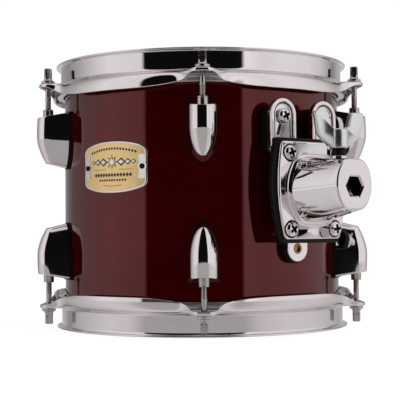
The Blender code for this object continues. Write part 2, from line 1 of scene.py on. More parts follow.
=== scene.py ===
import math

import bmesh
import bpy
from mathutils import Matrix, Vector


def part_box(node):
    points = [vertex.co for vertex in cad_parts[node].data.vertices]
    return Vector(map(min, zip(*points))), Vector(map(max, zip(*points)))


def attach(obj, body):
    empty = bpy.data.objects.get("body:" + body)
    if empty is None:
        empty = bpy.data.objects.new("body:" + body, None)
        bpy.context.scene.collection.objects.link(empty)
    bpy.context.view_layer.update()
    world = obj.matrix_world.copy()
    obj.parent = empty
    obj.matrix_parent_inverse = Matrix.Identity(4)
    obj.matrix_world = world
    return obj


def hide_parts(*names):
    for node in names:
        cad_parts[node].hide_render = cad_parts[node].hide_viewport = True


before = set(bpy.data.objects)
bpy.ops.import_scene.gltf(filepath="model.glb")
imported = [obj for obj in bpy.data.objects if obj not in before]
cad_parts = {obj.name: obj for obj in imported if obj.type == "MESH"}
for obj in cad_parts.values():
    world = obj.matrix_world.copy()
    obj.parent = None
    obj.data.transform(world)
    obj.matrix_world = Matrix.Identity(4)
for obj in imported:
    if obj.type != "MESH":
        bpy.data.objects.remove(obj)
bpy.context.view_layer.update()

# The looks of a rack tom drum with a suspended rim mount.
#
# Lengths are in metres, in the frame's own axes. Most pieces are drawn in one of three local
# frames: the drum frame (z along the drum's axis from the middle of the shell), the wall frame
# (x to the right as seen from outside, -y outwards from the axis, z up from the middle) and the
# rod frame (z along a tension rod, from the bearing edge away from the shell).

MM = 0.001


# Places that come from the frame


def size_of(node):
    low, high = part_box(node)
    return high - low


SHELL_LOW, SHELL_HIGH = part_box("shell")
AXIS = Vector(((SHELL_LOW.x + SHELL_HIGH.x) / 2, (SHELL_LOW.y + SHELL_HIGH.y) / 2, 0))
MID_Z = (SHELL_LOW.z + SHELL_HIGH.z) / 2
DRUM_PLACE = Matrix.Translation(AXIS + Vector((0, 0, MID_Z)))
EDGE = (SHELL_HIGH.z - SHELL_LOW.z) / 2
SHELL_RADIUS = (SHELL_HIGH.x - SHELL_LOW.x) / 2
RIM_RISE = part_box("batter_hoop")[1].z - SHELL_HIGH.z
ROD_LOW, ROD_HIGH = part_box("batter_tension_rod_4")
ROD_CIRCLE = (ROD_LOW.y + ROD_HIGH.y) / 2 - AXIS.y
KEY_TOP = ROD_HIGH.z - SHELL_HIGH.z
ROD_LENGTH = ROD_HIGH.z - ROD_LOW.z
LUG_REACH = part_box("batter_lug_4")[1].y - AXIS.y
RECEIVER_LOW, RECEIVER_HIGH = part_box("receiver_housing")
RECEIVER_REACH = AXIS.y - RECEIVER_LOW.y
PLATE_TOP = RECEIVER_HIGH.z - MID_Z
PLATE_BOTTOM = RECEIVER_LOW.z - MID_Z
BOLT_LOW, BOLT_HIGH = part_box("bolt_sleeve")
BOLT_CIRCLE = AXIS.y - (BOLT_LOW.y + BOLT_HIGH.y) / 2
BOLT_PLACE = Matrix.Translation((0, -BOLT_CIRCLE, 0))
SLEEVE_RADIUS = (BOLT_HIGH.x - BOLT_LOW.x) / 2

# Angles round the drum, anticlockwise from +X seen from above

ROD_COUNT = 5
ROD_STEP_DEG = 72
FIRST_ROD_DEG = -126
VENT_DEG = 54
MOUNT_DEG = -90


# Mesh helpers

WELD_DISTANCE = 0.002 * MM
CORNER_SHARE = 0.98
SUPPORT_SHARE = 0.06


def make_mesh(name, points, faces, material, sharp_deg=35):
    mesh = bpy.data.meshes.new(name)
    build = bmesh.new()
    corners = [build.verts.new(point) for point in points]
    for face in faces:
        build.faces.new([corners[index] for index in face])
    bmesh.ops.remove_doubles(build, verts=build.verts, dist=WELD_DISTANCE)
    bmesh.ops.recalc_face_normals(build, faces=build.faces)
    build.to_mesh(mesh)
    build.free()
    mesh.materials.append(material)
    mesh.shade_smooth()
    mesh.set_sharp_from_angle(angle=math.radians(sharp_deg))
    thing = bpy.data.objects.new(name, mesh)
    bpy.context.scene.collection.objects.link(thing)
    return thing


def grid_faces(rows, columns, close_rows, close_columns):
    faces = []
    for row in range(rows if close_rows else rows - 1):
        after_row = (row + 1) % rows
        for column in range(columns if close_columns else columns - 1):
            after = (column + 1) % columns
            here, there = row * columns, after_row * columns
            faces.append((here + column, here + after, there + after, there + column))
    return faces


def loft(name, loops, material, caps=True, sharp_deg=35):
    """A surface through closed loops of equal length, with flat ends if caps is set."""
    count = len(loops[0])
    points = [point for loop in loops for point in loop]
    faces = grid_faces(len(loops), count, False, True)
    if caps:
        faces.append(list(range(count)))
        faces.append(list(range(len(points) - count, len(points))))
    return make_mesh(name, points, faces, material, sharp_deg)


def band(name, sections, material, sharp_deg=35):
    """A closed band: closed sections that run once round."""
    points = [point for section in sections for point in section]
    faces = grid_faces(len(sections), len(sections[0]), True, True)
    return make_mesh(name, points, faces, material, sharp_deg)


def polar(radius, angle_deg, height):
    angle = math.radians(angle_deg)
    return Vector((radius * math.cos(angle), radius * math.sin(angle), height))


def turned_ring(name, profile, steps, material, sharp_deg=35):
    """A closed (radius, height) profile turned about z."""
    angles = [360 * step / steps for step in range(steps)]
    sections = [[polar(radius, angle, height) for radius, height in profile] for angle in angles]
    return band(name, sections, material, sharp_deg)


def turned_solid(name, profile, steps, material, sharp_deg=35):
    """A (radius, height) profile from one end of the axis to the other, turned about z."""
    angles = [360 * step / steps for step in range(steps)]
    loops = [[polar(radius, angle, height) for angle in angles] for radius, height in profile]
    return loft(name, loops, material, True, sharp_deg)


def rounded(points, radii, steps=4, closed=True):
    """The outline with each corner replaced by a curve that starts radius away from it."""
    result = []
    count = len(points)
    reaches = list(radii) if isinstance(radii, (list, tuple)) else [radii] * count
    for index, point in enumerate(points):
        here = Vector(point)
        reach = reaches[index]
        if reach <= 0 or (not closed and index in (0, count - 1)):
            result += [here] * (steps + 1) if closed else [here]
            continue
        before = Vector(points[index - 1]) - here
        after = Vector(points[(index + 1) % count]) - here
        before_share = CORNER_SHARE * reach / (reach + reaches[index - 1])
        after_share = CORNER_SHARE * reach / (reach + reaches[(index + 1) % count])
        start = here + before.normalized() * min(reach, before.length * before_share)
        end = here + after.normalized() * min(reach, after.length * after_share)
        for step in range(steps + 1):
            share = step / steps
            result.append(start.lerp(here, share).lerp(here.lerp(end, share), share))
    return result


def with_supports(outline, steps):
    """A rounded outline with two more points in each straight run, so that its shading stays flat."""
    result = []
    for index, point in enumerate(outline):
        result.append(point)
        if index % (steps + 1) == steps:
            after = outline[(index + 1) % len(outline)]
            result += [point.lerp(after, SUPPORT_SHARE), point.lerp(after, 1 - SUPPORT_SHARE)]
    return result


def scaled(points):
    """Pairs in millimetres, as metres."""
    return [(x * MM, z * MM) for x, z in points]


def arc(centre_x, centre_z, radius, start_deg, end_deg, count):
    points = []
    for step in range(count + 1):
        angle = math.radians(start_deg + (end_deg - start_deg) * step / count)
        points.append((centre_x + radius * math.cos(angle), centre_z + radius * math.sin(angle)))
    return points


def apply_modifiers(thing):
    """Replaces the object's mesh with the evaluated one, and drops its modifiers."""
    bpy.context.view_layer.update()
    evaluated = thing.evaluated_get(bpy.context.evaluated_depsgraph_get())
    mesh = bpy.data.meshes.new_from_object(evaluated)
    thing.modifiers.clear()
    thing.data = mesh
    return thing


def bevel(thing, width, segments=3, angle_deg=30):
    modifier = thing.modifiers.new("edges", "BEVEL")
    modifier.width = width
    modifier.segments = segments
    modifier.limit_method = "ANGLE"
    modifier.angle_limit = math.radians(angle_deg)
    modifier.harden_normals = True
    modifier.use_clamp_overlap = True
    return apply_modifiers(thing)


def cut(thing, *cutters, operation="DIFFERENCE"):
    """Takes the cutters away from the thing, or joins them to it, and removes them."""
    for cutter in cutters:
        modifier = thing.modifiers.new("cut", "BOOLEAN")
        modifier.operation = operation
        modifier.solver = "EXACT"
        modifier.material_mode = "TRANSFER"
        modifier.object = cutter
    apply_modifiers(thing)
    for cutter in cutters:
        bpy.data.objects.remove(cutter)
    return thing


def prism(name, outline, front, back, material, sharp_deg=35):
    """An (x, z) outline in the wall frame, from one distance off the drum's axis to another."""
    loops = [[Vector((x, -reach, z)) for x, z in outline] for reach in (back, front)]
    return loft(name, loops, material, True, sharp_deg)


def merge(name, things):
    """Joins the meshes of several objects, at their places, into one object."""
    build = bmesh.new()
    materials = []
    for thing in things:
        mesh = thing.data.copy()
        mesh.transform(thing.matrix_world)
        slots = []
        for material in thing.data.materials:
            if material not in materials:
                materials.append(material)
            slots.append(materials.index(material))
        for polygon in mesh.polygons:
            polygon.material_index = slots[polygon.material_index]
        build.from_mesh(mesh)
        bpy.data.meshes.remove(mesh)
    joined = bpy.data.meshes.new(name)
    build.to_mesh(joined)
    build.free()
    for material in materials:
        joined.materials.append(material)
    for thing in things:
        bpy.data.objects.remove(thing)
    result = bpy.data.objects.new(name, joined)
    bpy.context.scene.collection.objects.link(result)
    return result


def copy_of(thing, name):
    twin = bpy.data.objects.new(name, thing.data)
    bpy.context.scene.collection.objects.link(twin)
    return twin


def turn_z(angle_deg):
    return Matrix.Rotation(math.radians(angle_deg), 4, "Z")


def in_drum(thing, upside_down=False):
    turn = Matrix.Rotation(math.pi if upside_down else 0, 4, "X")
    thing.matrix_world = DRUM_PLACE @ turn
    return thing


def on_wall(thing, angle_deg, upside_down=False):
    flip = Matrix.Rotation(math.pi if upside_down else 0, 4, "Y")
    thing.matrix_world = DRUM_PLACE @ turn_z(angle_deg + 90) @ flip
    return thing


def at_rod(thing, angle_deg, upside_down=False):
    edge = -EDGE if upside_down else EDGE
    spot = AXIS + polar(ROD_CIRCLE, angle_deg, MID_Z + edge)
    flip = Matrix.Rotation(math.pi if upside_down else 0, 4, "X")
    thing.matrix_world = Matrix.Translation(spot) @ turn_z(angle_deg) @ flip
    return thing


def done(thing, body, slot, *nodes):
    """Says which body the piece rides on and the CAD nodes it stands for. The slot argument is not used."""
    bpy.context.view_layer.update()
    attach(thing, body)
    if nodes:
        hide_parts(*nodes)
    return thing


# Node helpers


def node(tree, kind, inputs=None, **settings):
    made = tree.nodes.new(kind)
    for key, value in settings.items():
        setattr(made, key, value)
    for key, value in (inputs or {}).items():
        if isinstance(value, bpy.types.NodeSocket):
            tree.links.new(value, made.inputs[key])
        else:
            made.inputs[key].default_value = value
    return made


def object_coordinates(tree):
    return node(tree, "ShaderNodeTexCoord").outputs["Object"]


def noise(tree, vector, scale, detail=3, roughness=0.5, stretch=None):
    if stretch:
        vector = node(tree, "ShaderNodeMapping", {"Vector": vector, "Scale": stretch}).outputs["Vector"]
    inputs = {"Vector": vector, "Scale": scale, "Detail": detail, "Roughness": roughness}
    return node(tree, "ShaderNodeTexNoise", inputs).outputs["Fac"]


def span(tree, value, low, high, from_low=0.0, from_high=1.0, smooth=False):
    inputs = {"Value": value, "From Min": from_low, "From Max": from_high, "To Min": low, "To Max": high}
    kind = "SMOOTHSTEP" if smooth else "LINEAR"
    return node(tree, "ShaderNodeMapRange", inputs, interpolation_type=kind).outputs["Result"]


def maths(tree, operation, first, second=0.0):
    return node(tree, "ShaderNodeMath", {0: first, 1: second}, operation=operation).outputs[0]


def mix_colour(tree, factor, first, second, blend="MIX"):
    made = node(tree, "ShaderNodeMix", data_type="RGBA", blend_type=blend)
    for socket, value in ((0, factor), (6, first), (7, second)):
        if isinstance(value, bpy.types.NodeSocket):
            tree.links.new(value, made.inputs[socket])
        elif socket:
            made.inputs[socket].default_value = (*value, 1)
        else:
            made.inputs[socket].default_value = value
    return made.outputs[2]


def bump(tree, height, strength, distance):
    inputs = {"Height": height, "Strength": strength, "Distance": distance}
    return node(tree, "ShaderNodeBump", inputs).outputs["Normal"]


def new_material(name, **values):
    material = bpy.data.materials.new(name)
    material.use_nodes = True
    shader = material.node_tree.nodes["Principled BSDF"]
    for key, value in values.items():
        socket = shader.inputs[key.replace("_", " ")]
        socket.default_value = (*value, 1) if isinstance(value, tuple) else value
    return material, material.node_tree, shader


def drive(tree, shader, socket, value):
    tree.links.new(value, shader.inputs[socket])


# Materials

NOISE_MIDDLE = (0.3, 0.7)


def noise_material(name, fields, colour, rough, relief=None, **values):
    """Colour, roughness and bump, each from one of the noise fields.

    fields holds noise settings by name, colour is (field, first, second) with two optional limits,
    rough is (field, low, high) and relief is (field, strength, depth in millimetres).
    """
    material, tree, shader = new_material(name, **values)
    place = object_coordinates(tree)
    made = {key: noise(tree, place, *settings) for key, settings in fields.items()}
    field, first, second, *limits = colour
    share = span(tree, made[field], 0, 1, *limits) if limits else made[field]
    drive(tree, shader, "Base Color", mix_colour(tree, share, first, second))
    field, low, high = rough
    drive(tree, shader, "Roughness", span(tree, made[field], low, high, *NOISE_MIDDLE))
    if relief:
        field, strength, depth = relief
        drive(tree, shader, "Normal", bump(tree, made[field], strength, depth * MM))
    return material


def lacquer_material():
    """Clear-coated deep red over birch: the grain only just shows."""
    coat = {"Coat_Weight": 1.0, "Coat_Roughness": 0.012, "Coat_IOR": 1.42}
    material, tree, shader = new_material(
        "cranberry_lacquer_gloss", Metallic=0.45, Specular_IOR_Level=0.0, **coat
    )
    place = object_coordinates(tree)
    fibre = noise(tree, place, 90, 6, 0.62, (1, 1, 14))
    cloud = noise(tree, place, 11, 3, 0.5, (1, 1, 2.6))
    pores = noise(tree, place, 420, 2, 0.5, (1, 1, 9))
    tone = maths(tree, "ADD", maths(tree, "MULTIPLY", fibre, 0.6), maths(tree, "MULTIPLY", cloud, 0.4))
    light = span(tree, tone, 0, 1, 0.36, 0.64)
    colour = mix_colour(tree, light, (0.112, 0.0012, 0.0024), (0.168, 0.0024, 0.0046))
    dark = span(tree, pores, 0, 0.35, 0.58, 0.72)
    drive(tree, shader, "Base Color", mix_colour(tree, dark, colour, (0.06, 0.0007, 0.0012)))
    drive(tree, shader, "Roughness", span(tree, fibre, 0.075, 0.13, *NOISE_MIDDLE))
    peel = noise(tree, place, 55, 2, 0.4)
    drive(tree, shader, "Coat Normal", bump(tree, peel, 0.02, 0.4 * MM))
    return material


def chrome_material(name="chrome_plate", shade=(0.87, 0.815, 0.82)):
    """Bright plating: slight haze that comes and goes, and hairline wipe marks."""
    material, tree, shader = new_material(name, Metallic=1.0)
    place = object_coordinates(tree)
    haze = noise(tree, place, 34, 4, 0.6)
    marks = noise(tree, place, 900, 2, 0.6, (1, 1, 0.05))
    smear = span(tree, haze, 0.028, 0.062, *NOISE_MIDDLE)
    drive(tree, shader, "Roughness", maths(tree, "ADD", smear, span(tree, marks, 0, 0.022, 0.55, 0.8)))
    tint = tuple(channel * 0.94 for channel in shade)
    drive(tree, shader, "Base Color", mix_colour(tree, haze, shade, tint))
    drive(tree, shader, "Normal", bump(tree, noise(tree, place, 120, 2, 0.5), 0.012, 0.3 * MM))
    return material


def wood_material():
    """Birch plies inside the shell, sanded and sealed."""
    material, tree, shader = new_material("birch_inside", Specular_IOR_Level=0.35)
    place = object_coordinates(tree)
    figure = noise(tree, place, 9, 3, 0.5, (1, 1, 4))
    fibre = noise(tree, place, 150, 5, 0.65, (1, 1, 12))
    light = mix_colour(tree, span(tree, figure, 0, 1, 0.35, 0.65), (0.62, 0.42, 0.24), (0.72, 0.52, 0.32))
    dark = span(tree, fibre, 0, 0.55, 0.5, 0.75)
    drive(tree, shader, "Base Color", mix_colour(tree, dark, light, (0.42, 0.25, 0.12)))
    drive(tree, shader, "Roughness", span(tree, fibre, 0.42, 0.6, *NOISE_MIDDLE))
    drive(tree, shader, "Normal", bump(tree, fibre, 0.12, 0.12 * MM))
    return material


def badge_field_material():
    """Champagne metal with a fine upright brushing."""
    material, tree, shader = new_material("badge_champagne", Metallic=0.9)
    place = object_coordinates(tree)
    lines = noise(tree, place, 900, 3, 0.6, (3, 3, 0.06))
    patch = noise(tree, place, 40, 2, 0.5)
    gold = mix_colour(tree, patch, (1.0, 0.69, 0.31), (1.0, 0.76, 0.38))
    dark = span(tree, lines, 0, 0.3, 0.4, 0.8)
    drive(tree, shader, "Base Color", mix_colour(tree, dark, gold, (0.72, 0.48, 0.20)))
    drive(tree, shader, "Roughness", span(tree, lines, 0.28, 0.42, *NOISE_MIDDLE))
    drive(tree, shader, "Normal", bump(tree, lines, 0.08, 0.05 * MM))
    return material


LACQUER = lacquer_material()
CHROME = chrome_material()
# Nickel-plated steel of the rods and screws, warmer and less sharp than the chrome
STEEL = noise_material(
    "nickel_steel",
    {"stain": (160, 4, 0.6), "turn": (700, 3, 0.6, (0.2, 0.2, 3))},
    ("stain", (0.64, 0.62, 0.60), (0.48, 0.46, 0.44), 0.35, 0.7),
    ("turn", 0.14, 0.30),
    ("turn", 0.06, 0.1),
    Metallic=1.0,
)
# Die-cast metal with a matt plated finish
SATIN = noise_material(
    "satin_cast",
    {"grain": (1500, 3, 0.7), "patch": (60, 3, 0.5)},
    ("patch", (0.88, 0.88, 0.88), (0.78, 0.78, 0.78)),
    ("grain", 0.20, 0.34),
    ("grain", 0.12, 0.08),
    Metallic=1.0,
)
ALUMINIUM = noise_material(
    "brushed_aluminium",
    {"lines": (500, 3, 0.6, (0.05, 0.05, 4))},
    ("lines", (0.72, 0.72, 0.73), (0.60, 0.60, 0.61)),
    ("lines", 0.22, 0.38),
    ("lines", 0.05, 0.1),
    Metallic=1.0,
)
# Black moulded rubber with dust. The same black is also put on the walls of bores and recesses cut in the
# metal, and on a strip in the tab rims, as painted shade.
BLACK_RUBBER_AND_SHADE = noise_material(
    "black_rubber_and_painted_shade",
    {"grain": (1100, 3, 0.6), "dust": (45, 4, 0.6)},
    ("dust", (0.0022, 0.0022, 0.0022), (0.007, 0.0066, 0.006), 0.4, 0.8),
    ("grain", 0.42, 0.6),
    ("grain", 0.1, 0.08),
    Specular_IOR_Level=0.22,
)
# Clear polyester with a faint haze
FILM = noise_material(
    "clear_polyester",
    {"haze": (24, 3, 0.5)},
    ("haze", (0.80, 0.82, 0.84), (0.88, 0.89, 0.90)),
    ("haze", 0.08, 0.18),
    Alpha=0.3,
)
WOOD = wood_material()
GOLD = badge_field_material()
SILVER = chrome_material("badge_silver", (0.80, 0.79, 0.76))
INK = noise_material(
    "badge_enamel",
    {"grain": (1400, 2, 0.6)},
    ("grain", (0.03, 0.025, 0.02), (0.05, 0.04, 0.03)),
    ("grain", 0.3, 0.45),
    Coat_Weight=0.4,
)
BRASS = noise_material(
    "brass_insert",
    {"stain": (300, 3, 0.6)},
    ("stain", (0.62, 0.38, 0.20), (0.40, 0.22, 0.10)),
    ("stain", 0.2, 0.4),
    Metallic=1.0,
)


# Shell

SHELL_WALL = 6.0 * MM
SHELL_INNER = SHELL_RADIUS - SHELL_WALL
SHELL_STEPS = 288
SHELL_ROWS = 8
PLAIN_HALF = EDGE - 12 * MM
EDGE_RADIUS = 124.6 * MM
EDGE_FLAT = 0.4 * MM
GROMMET_HOLE = 6.4 * MM


def wall_up(radius):
    """Points up the plain part of the shell's wall, close enough for even shading."""
    shares = [2 * row / SHELL_ROWS - 1 for row in range(SHELL_ROWS + 1)]
    return [Vector((radius, PLAIN_HALF * share)) for share in shares]


def make_shell():
    """The tube with its bearing edges: lacquered outside, bare wood inside, one vent hole."""
    fall = EDGE_RADIUS - SHELL_INNER
    top = [(SHELL_RADIUS, EDGE - 2.0 * MM), (EDGE_RADIUS + EDGE_FLAT, EDGE)]
    top += [(EDGE_RADIUS - EDGE_FLAT, EDGE), (SHELL_INNER, EDGE - fall)]
    top = rounded(top, [0.8 * MM, 0.3 * MM, 0.3 * MM, 0.8 * MM], 3, closed=False)
    top.insert(0, Vector((SHELL_RADIUS, EDGE - 4 * MM)))
    top.append(Vector((SHELL_INNER, EDGE - fall - 3 * MM)))
    bottom = [Vector((point.x, -point.y)) for point in reversed(top)]
    profile = top + wall_up(SHELL_INNER)[::-1] + bottom + wall_up(SHELL_RADIUS)
    shell = turned_ring("shell_ply", profile, SHELL_STEPS, LACQUER, 30)
    shell.data.materials.append(WOOD)
    limit = SHELL_RADIUS - 0.3 * MM
    for polygon in shell.data.polygons:
        if math.hypot(polygon.center.x, polygon.center.y) < limit:
            polygon.material_index = 1
    outline = arc(0, 0, GROMMET_HOLE, 0, 350, 35)
    cutter = prism("vent_cutter", outline, SHELL_RADIUS + 9 * MM, SHELL_RADIUS - 15 * MM, WOOD)
    on_wall(cutter, VENT_DEG)
    in_drum(shell)
    cut(shell, cutter)
    return done(shell, "drum", "cranberry_lacquer", "shell")


def make_grommet():
    tube = GROMMET_HOLE - 0.3 * MM
    bore = 4.8 * MM
    tail = SHELL_INNER - 1.5 * MM
    seat = SHELL_RADIUS + 0.2 * MM
    profile = [(bore, tail), (tube, tail), (tube, seat), (9.5 * MM, seat), (8.6 * MM, seat + 1.7 * MM)]
    profile += [(6.0 * MM, seat + 2.0 * MM), (bore, seat + 0.8 * MM)]
    radii = [radius * MM for radius in (0.2, 0.2, 0.2, 0.3, 0.9, 0.9, 0.8)]
    grommet = turned_ring("vent_grommet_fine", rounded(profile, radii, 3), 64, STEEL)
    grommet.data.transform(Matrix.Rotation(math.pi / 2, 4, "X"))
    on_wall(grommet, VENT_DEG)
    return done(grommet, "drum", "plated_steel", "vent_grommet")


# Hoops. Heights are from the bearing edge.

STEEL_SHEET = 1.6 * MM
HOOP_WALL_RADIUS = 130.45 * MM
LIP_RADIUS = 134.7 * MM
SKIRT_RADIUS = 137.5 * MM
SKIRT_BOTTOM = -14.9 * MM
SHELF = -0.9 * MM
SHOULDER_DROP = 2.6 * MM
SHOULDER_ROUND = 5.6 * MM
EAR_REACH = 15.2 * MM
EAR_WIDTH_DEG = 4.9
EAR_BOTTOM = -4.2 * MM
SCALLOP_STEEP_DEG = 5.4
SCALLOP_WIDE_DEG = 13.0
LIP_THICKNESS = 1.55 * MM
PROFILE_STEPS = 5
NEAR_EAR_STEP_DEG = 0.35
NEAR_EAR_STEPS = 31
FAR_FROM_EAR_DEG = 11.2
FAR_STEPS = 20


def ear_bulge(offset_deg):
    return EAR_REACH / (1 + (offset_deg / EAR_WIDTH_DEG) ** 4)


def skirt_bottom(offset_deg):
    steep = 1 / (1 + abs(offset_deg / SCALLOP_STEEP_DEG) ** 7)
    wide = math.exp(-((offset_deg / SCALLOP_WIDE_DEG) ** 2))
    return SKIRT_BOTTOM + (EAR_BOTTOM - SKIRT_BOTTOM) * (steep + wide) / 2


def hoop_profile(offset_deg):
    """The pressed section this far round from a rod: lip, wall, shelf and skirt."""
    wall = HOOP_WALL_RADIUS
    inner = wall - STEEL_SHEET
    skirt = SKIRT_RADIUS + ear_bulge(offset_deg)
    bottom = skirt_bottom(offset_deg)
    round_share = 1 - ear_bulge(offset_deg) / EAR_REACH
    drop = SHOULDER_DROP * round_share
    outer_corner = 2.0 * MM + SHOULDER_ROUND * round_share
    under = SHELF - STEEL_SHEET
    corners = [
        (inner, RIM_RISE, 3.0 * MM),
        (LIP_RADIUS, RIM_RISE, 0.75 * MM),
        (LIP_RADIUS, RIM_RISE - LIP_THICKNESS, 0.75 * MM),
        (wall, RIM_RISE - LIP_THICKNESS, 1.3 * MM),
        (wall, SHELF + 0.2 * drop, 2.2 * MM),
        (skirt, SHELF - drop, outer_corner),
        (skirt, bottom, 0.7 * MM),
        (skirt - STEEL_SHEET, bottom, 0.7 * MM),
        (skirt - STEEL_SHEET, under - drop, max(0.6 * MM, outer_corner - STEEL_SHEET)),
        (inner, under + 0.2 * MM, 1.2 * MM),
    ]
    outline = rounded([corner[:2] for corner in corners], [corner[2] for corner in corners], PROFILE_STEPS)
    return with_supports(outline, PROFILE_STEPS)


def ear_offsets():
    """Angles from a rod to half way to the next, closer together near the ear."""
    near = [NEAR_EAR_STEP_DEG * step for step in range(1, NEAR_EAR_STEPS + 1)]
    left = ROD_STEP_DEG / 2 - FAR_FROM_EAR_DEG
    return near + [FAR_FROM_EAR_DEG + left * step / FAR_STEPS for step in range(1, FAR_STEPS + 1)]


def make_hoop(side, upside_down):
    sections = []
    ahead = ear_offsets()
    offsets = [-step for step in reversed(ahead[:-1])] + [0] + ahead
    for index in range(ROD_COUNT):
        rod_angle = FIRST_ROD_DEG + ROD_STEP_DEG * index
        for offset in offsets:
            angle = -rod_angle - offset if upside_down else rod_angle + offset
            sections.append([polar(point.x, angle, EDGE + point.y) for point in hoop_profile(offset)])
    hoop = in_drum(band(side + "_hoop_pressed", sections, CHROME, 50), upside_down)
    return done(hoop, side + "_rim", "chrome", side + "_hoop")


# Heads

FILM_THICKNESS = 0.45 * MM
COLLAR_RADIUS = 127.4 * MM
COLLAR_DEPTH = 3.4 * MM
FLESH_INNER = 128.2 * MM
FLESH_OUTER = 134.0 * MM
FLESH_TOP = -2.8 * MM
FLESH_BOTTOM = -10.9 * MM
HEAD_STEPS = 192


def make_head(side, upside_down):
    """The film as one skin, from its middle out over the bearing edge and down into the flesh hoop."""
    top = EDGE + 0.3 * MM + FILM_THICKNESS
    collar = COLLAR_RADIUS + 0.2 * MM
    path = [(0, top), (EDGE_RADIUS - 1.5 * MM, top), (collar, top - 2.2 * MM), (collar, EDGE - COLLAR_DEPTH)]
    path = rounded(path, [0, 1.4 * MM, 1.2 * MM, 0], 4, closed=False)
    rings = [(r * EDGE_RADIUS / 8, top) for r in range(1, 8)] + [(p.x, p.y) for p in path[1:]]
    steps = HEAD_STEPS
    points = [Vector((0, 0, top))]
    for radius, height in rings:
        points += [polar(radius, 360 * step / steps, height) for step in range(steps)]
    faces = [(0, 1 + step, 1 + (step + 1) % steps) for step in range(steps)]
    faces += [tuple(1 + index for index in face) for face in grid_faces(len(rings), steps, False, True)]
    film = in_drum(make_mesh(side + "_film", points, faces, FILM, 60), upside_down)
    done(film, side + "_rim", "clear_film", side + "_head_film")
    section = [(FLESH_INNER, FLESH_BOTTOM), (FLESH_OUTER, FLESH_BOTTOM)]
    section += [(FLESH_OUTER, FLESH_TOP - 2.4 * MM), (FLESH_INNER, FLESH_TOP)]
    section = rounded([(radius, EDGE + height) for radius, height in section], 0.8 * MM, 3)
    flesh = turned_ring(side + "_flesh_ring", section, HEAD_STEPS, ALUMINIUM)
    done(in_drum(flesh, upside_down), side + "_rim", "head_aluminium", side + "_flesh_hoop")


# Tension rods. Heights are from the bearing edge.

ROD_RADIUS = 2.75 * MM
SHANK_RADIUS = 2.45 * MM
ROD_SEAT = -0.6 * MM
THREAD_START = -13.7 * MM
THREAD_PITCH = 25.4 / 24 * MM
THREAD_DEPTH = 0.55 * MM
FLANGE_RADIUS = 6.1 * MM
KEY_HALF = 3.175 * MM
ROD_TIP = KEY_TOP - ROD_LENGTH
ROD_SIDES = 32
ROWS_PER_PITCH = 6
ROD_TAPER = 0.8 * MM


def rod_loop(shape, half, height):
    """Points round the rod, on a circle (shape 0) or a square with round corners (shape 1)."""
    loop = []
    for side in range(ROD_SIDES):
        angle = 2 * math.pi * side / ROD_SIDES
        power = 2 + 7 * shape
        reach = (abs(math.cos(angle)) ** power + abs(math.sin(angle)) ** power) ** (-1 / power)
        loop.append(Vector((half * reach * math.cos(angle), half * reach * math.sin(angle), height)))
    return loop


def make_rod_mesh():
    """The rod's shank, flange and square key in one body, with a right-hand thread cut as a helix."""
    loops = []
    rows = int((THREAD_START - ROD_TIP) / THREAD_PITCH * ROWS_PER_PITCH)
    for row in range(rows + 1):
        height = ROD_TIP + (THREAD_START - ROD_TIP) * row / rows
        taper = min(1, (height - ROD_TIP) / (1.5 * MM)) * ROD_TAPER - ROD_TAPER
        loop = []
        for side in range(ROD_SIDES):
            share = ((height - THREAD_PITCH * side / ROD_SIDES) / THREAD_PITCH) % 1
            groove = THREAD_DEPTH * (1 - abs(2 * share - 1)) ** 0.9
            fade = min(1, (THREAD_START - height) / (1.2 * MM))
            loop.append(polar(ROD_RADIUS + taper - groove * fade, 360 * side / ROD_SIDES, height))
        loops.append(loop)
    flange_top = ROD_SEAT + 2.2 * MM
    for shape, half, height in (
        (0, SHANK_RADIUS, THREAD_START + 0.5 * MM),
        (0, SHANK_RADIUS, ROD_SEAT + 0.1 * MM),
        (0, FLANGE_RADIUS - 0.3 * MM, ROD_SEAT + 0.1 * MM),
        (0, FLANGE_RADIUS, ROD_SEAT + 0.4 * MM),
        (0, FLANGE_RADIUS, flange_top - 0.5 * MM),
        (0, FLANGE_RADIUS - 0.15 * MM, flange_top - 0.15 * MM),
        (0, FLANGE_RADIUS - 0.5 * MM, flange_top),
        (0, FLANGE_RADIUS - 1.3 * MM, flange_top + 0.2 * MM),
        (0.0, 4.1 * MM, flange_top + 0.8 * MM),
        (0.15, 3.5 * MM, flange_top + 1.8 * MM),
        (0.5, KEY_HALF + 0.05 * MM, flange_top + 3.0 * MM),
        (1, KEY_HALF, flange_top + 4.0 * MM),
        (1, KEY_HALF, KEY_TOP - 1.0 * MM),
        (0.9, KEY_HALF - 0.08 * MM, KEY_TOP - 0.6 * MM),
        (0.6, KEY_HALF - 0.35 * MM, KEY_TOP - 0.2 * MM),
        (0.4, KEY_HALF - 0.9 * MM, KEY_TOP - 0.02 * MM),
        (0.2, 1.0 * MM, KEY_TOP),
    ):
        loops.append(rod_loop(shape, half, height))
    return loft("rod_pattern", loops, STEEL, True, 40)


NUT_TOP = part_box("batter_swivel_nut_4")[1].z - MID_Z - EDGE
NUT_RADIUS = size_of("batter_swivel_nut_4").x / 2


def make_nut_mesh():
    """The collar of the swivel nut, with a turned lip and an open bore."""
    bore = ROD_RADIUS + 0.25 * MM
    low = NUT_TOP - 19 * MM
    groove = NUT_RADIUS - 0.35 * MM
    profile = [(bore, low), (NUT_RADIUS, low), (NUT_RADIUS, NUT_TOP - 1.3 * MM), (groove, NUT_TOP - 1.2 * MM)]
    profile += [(groove, NUT_TOP - 0.9 * MM), (NUT_RADIUS, NUT_TOP - 0.8 * MM), (NUT_RADIUS, NUT_TOP)]
    profile.append((bore, NUT_TOP))
    radii = [radius * MM for radius in (0.1, 0.2, 0.1, 0.05, 0.05, 0.1, 0.35, 0.3)]
    return turned_ring("nut_pattern", rounded(profile, radii, 2), 40, STEEL)
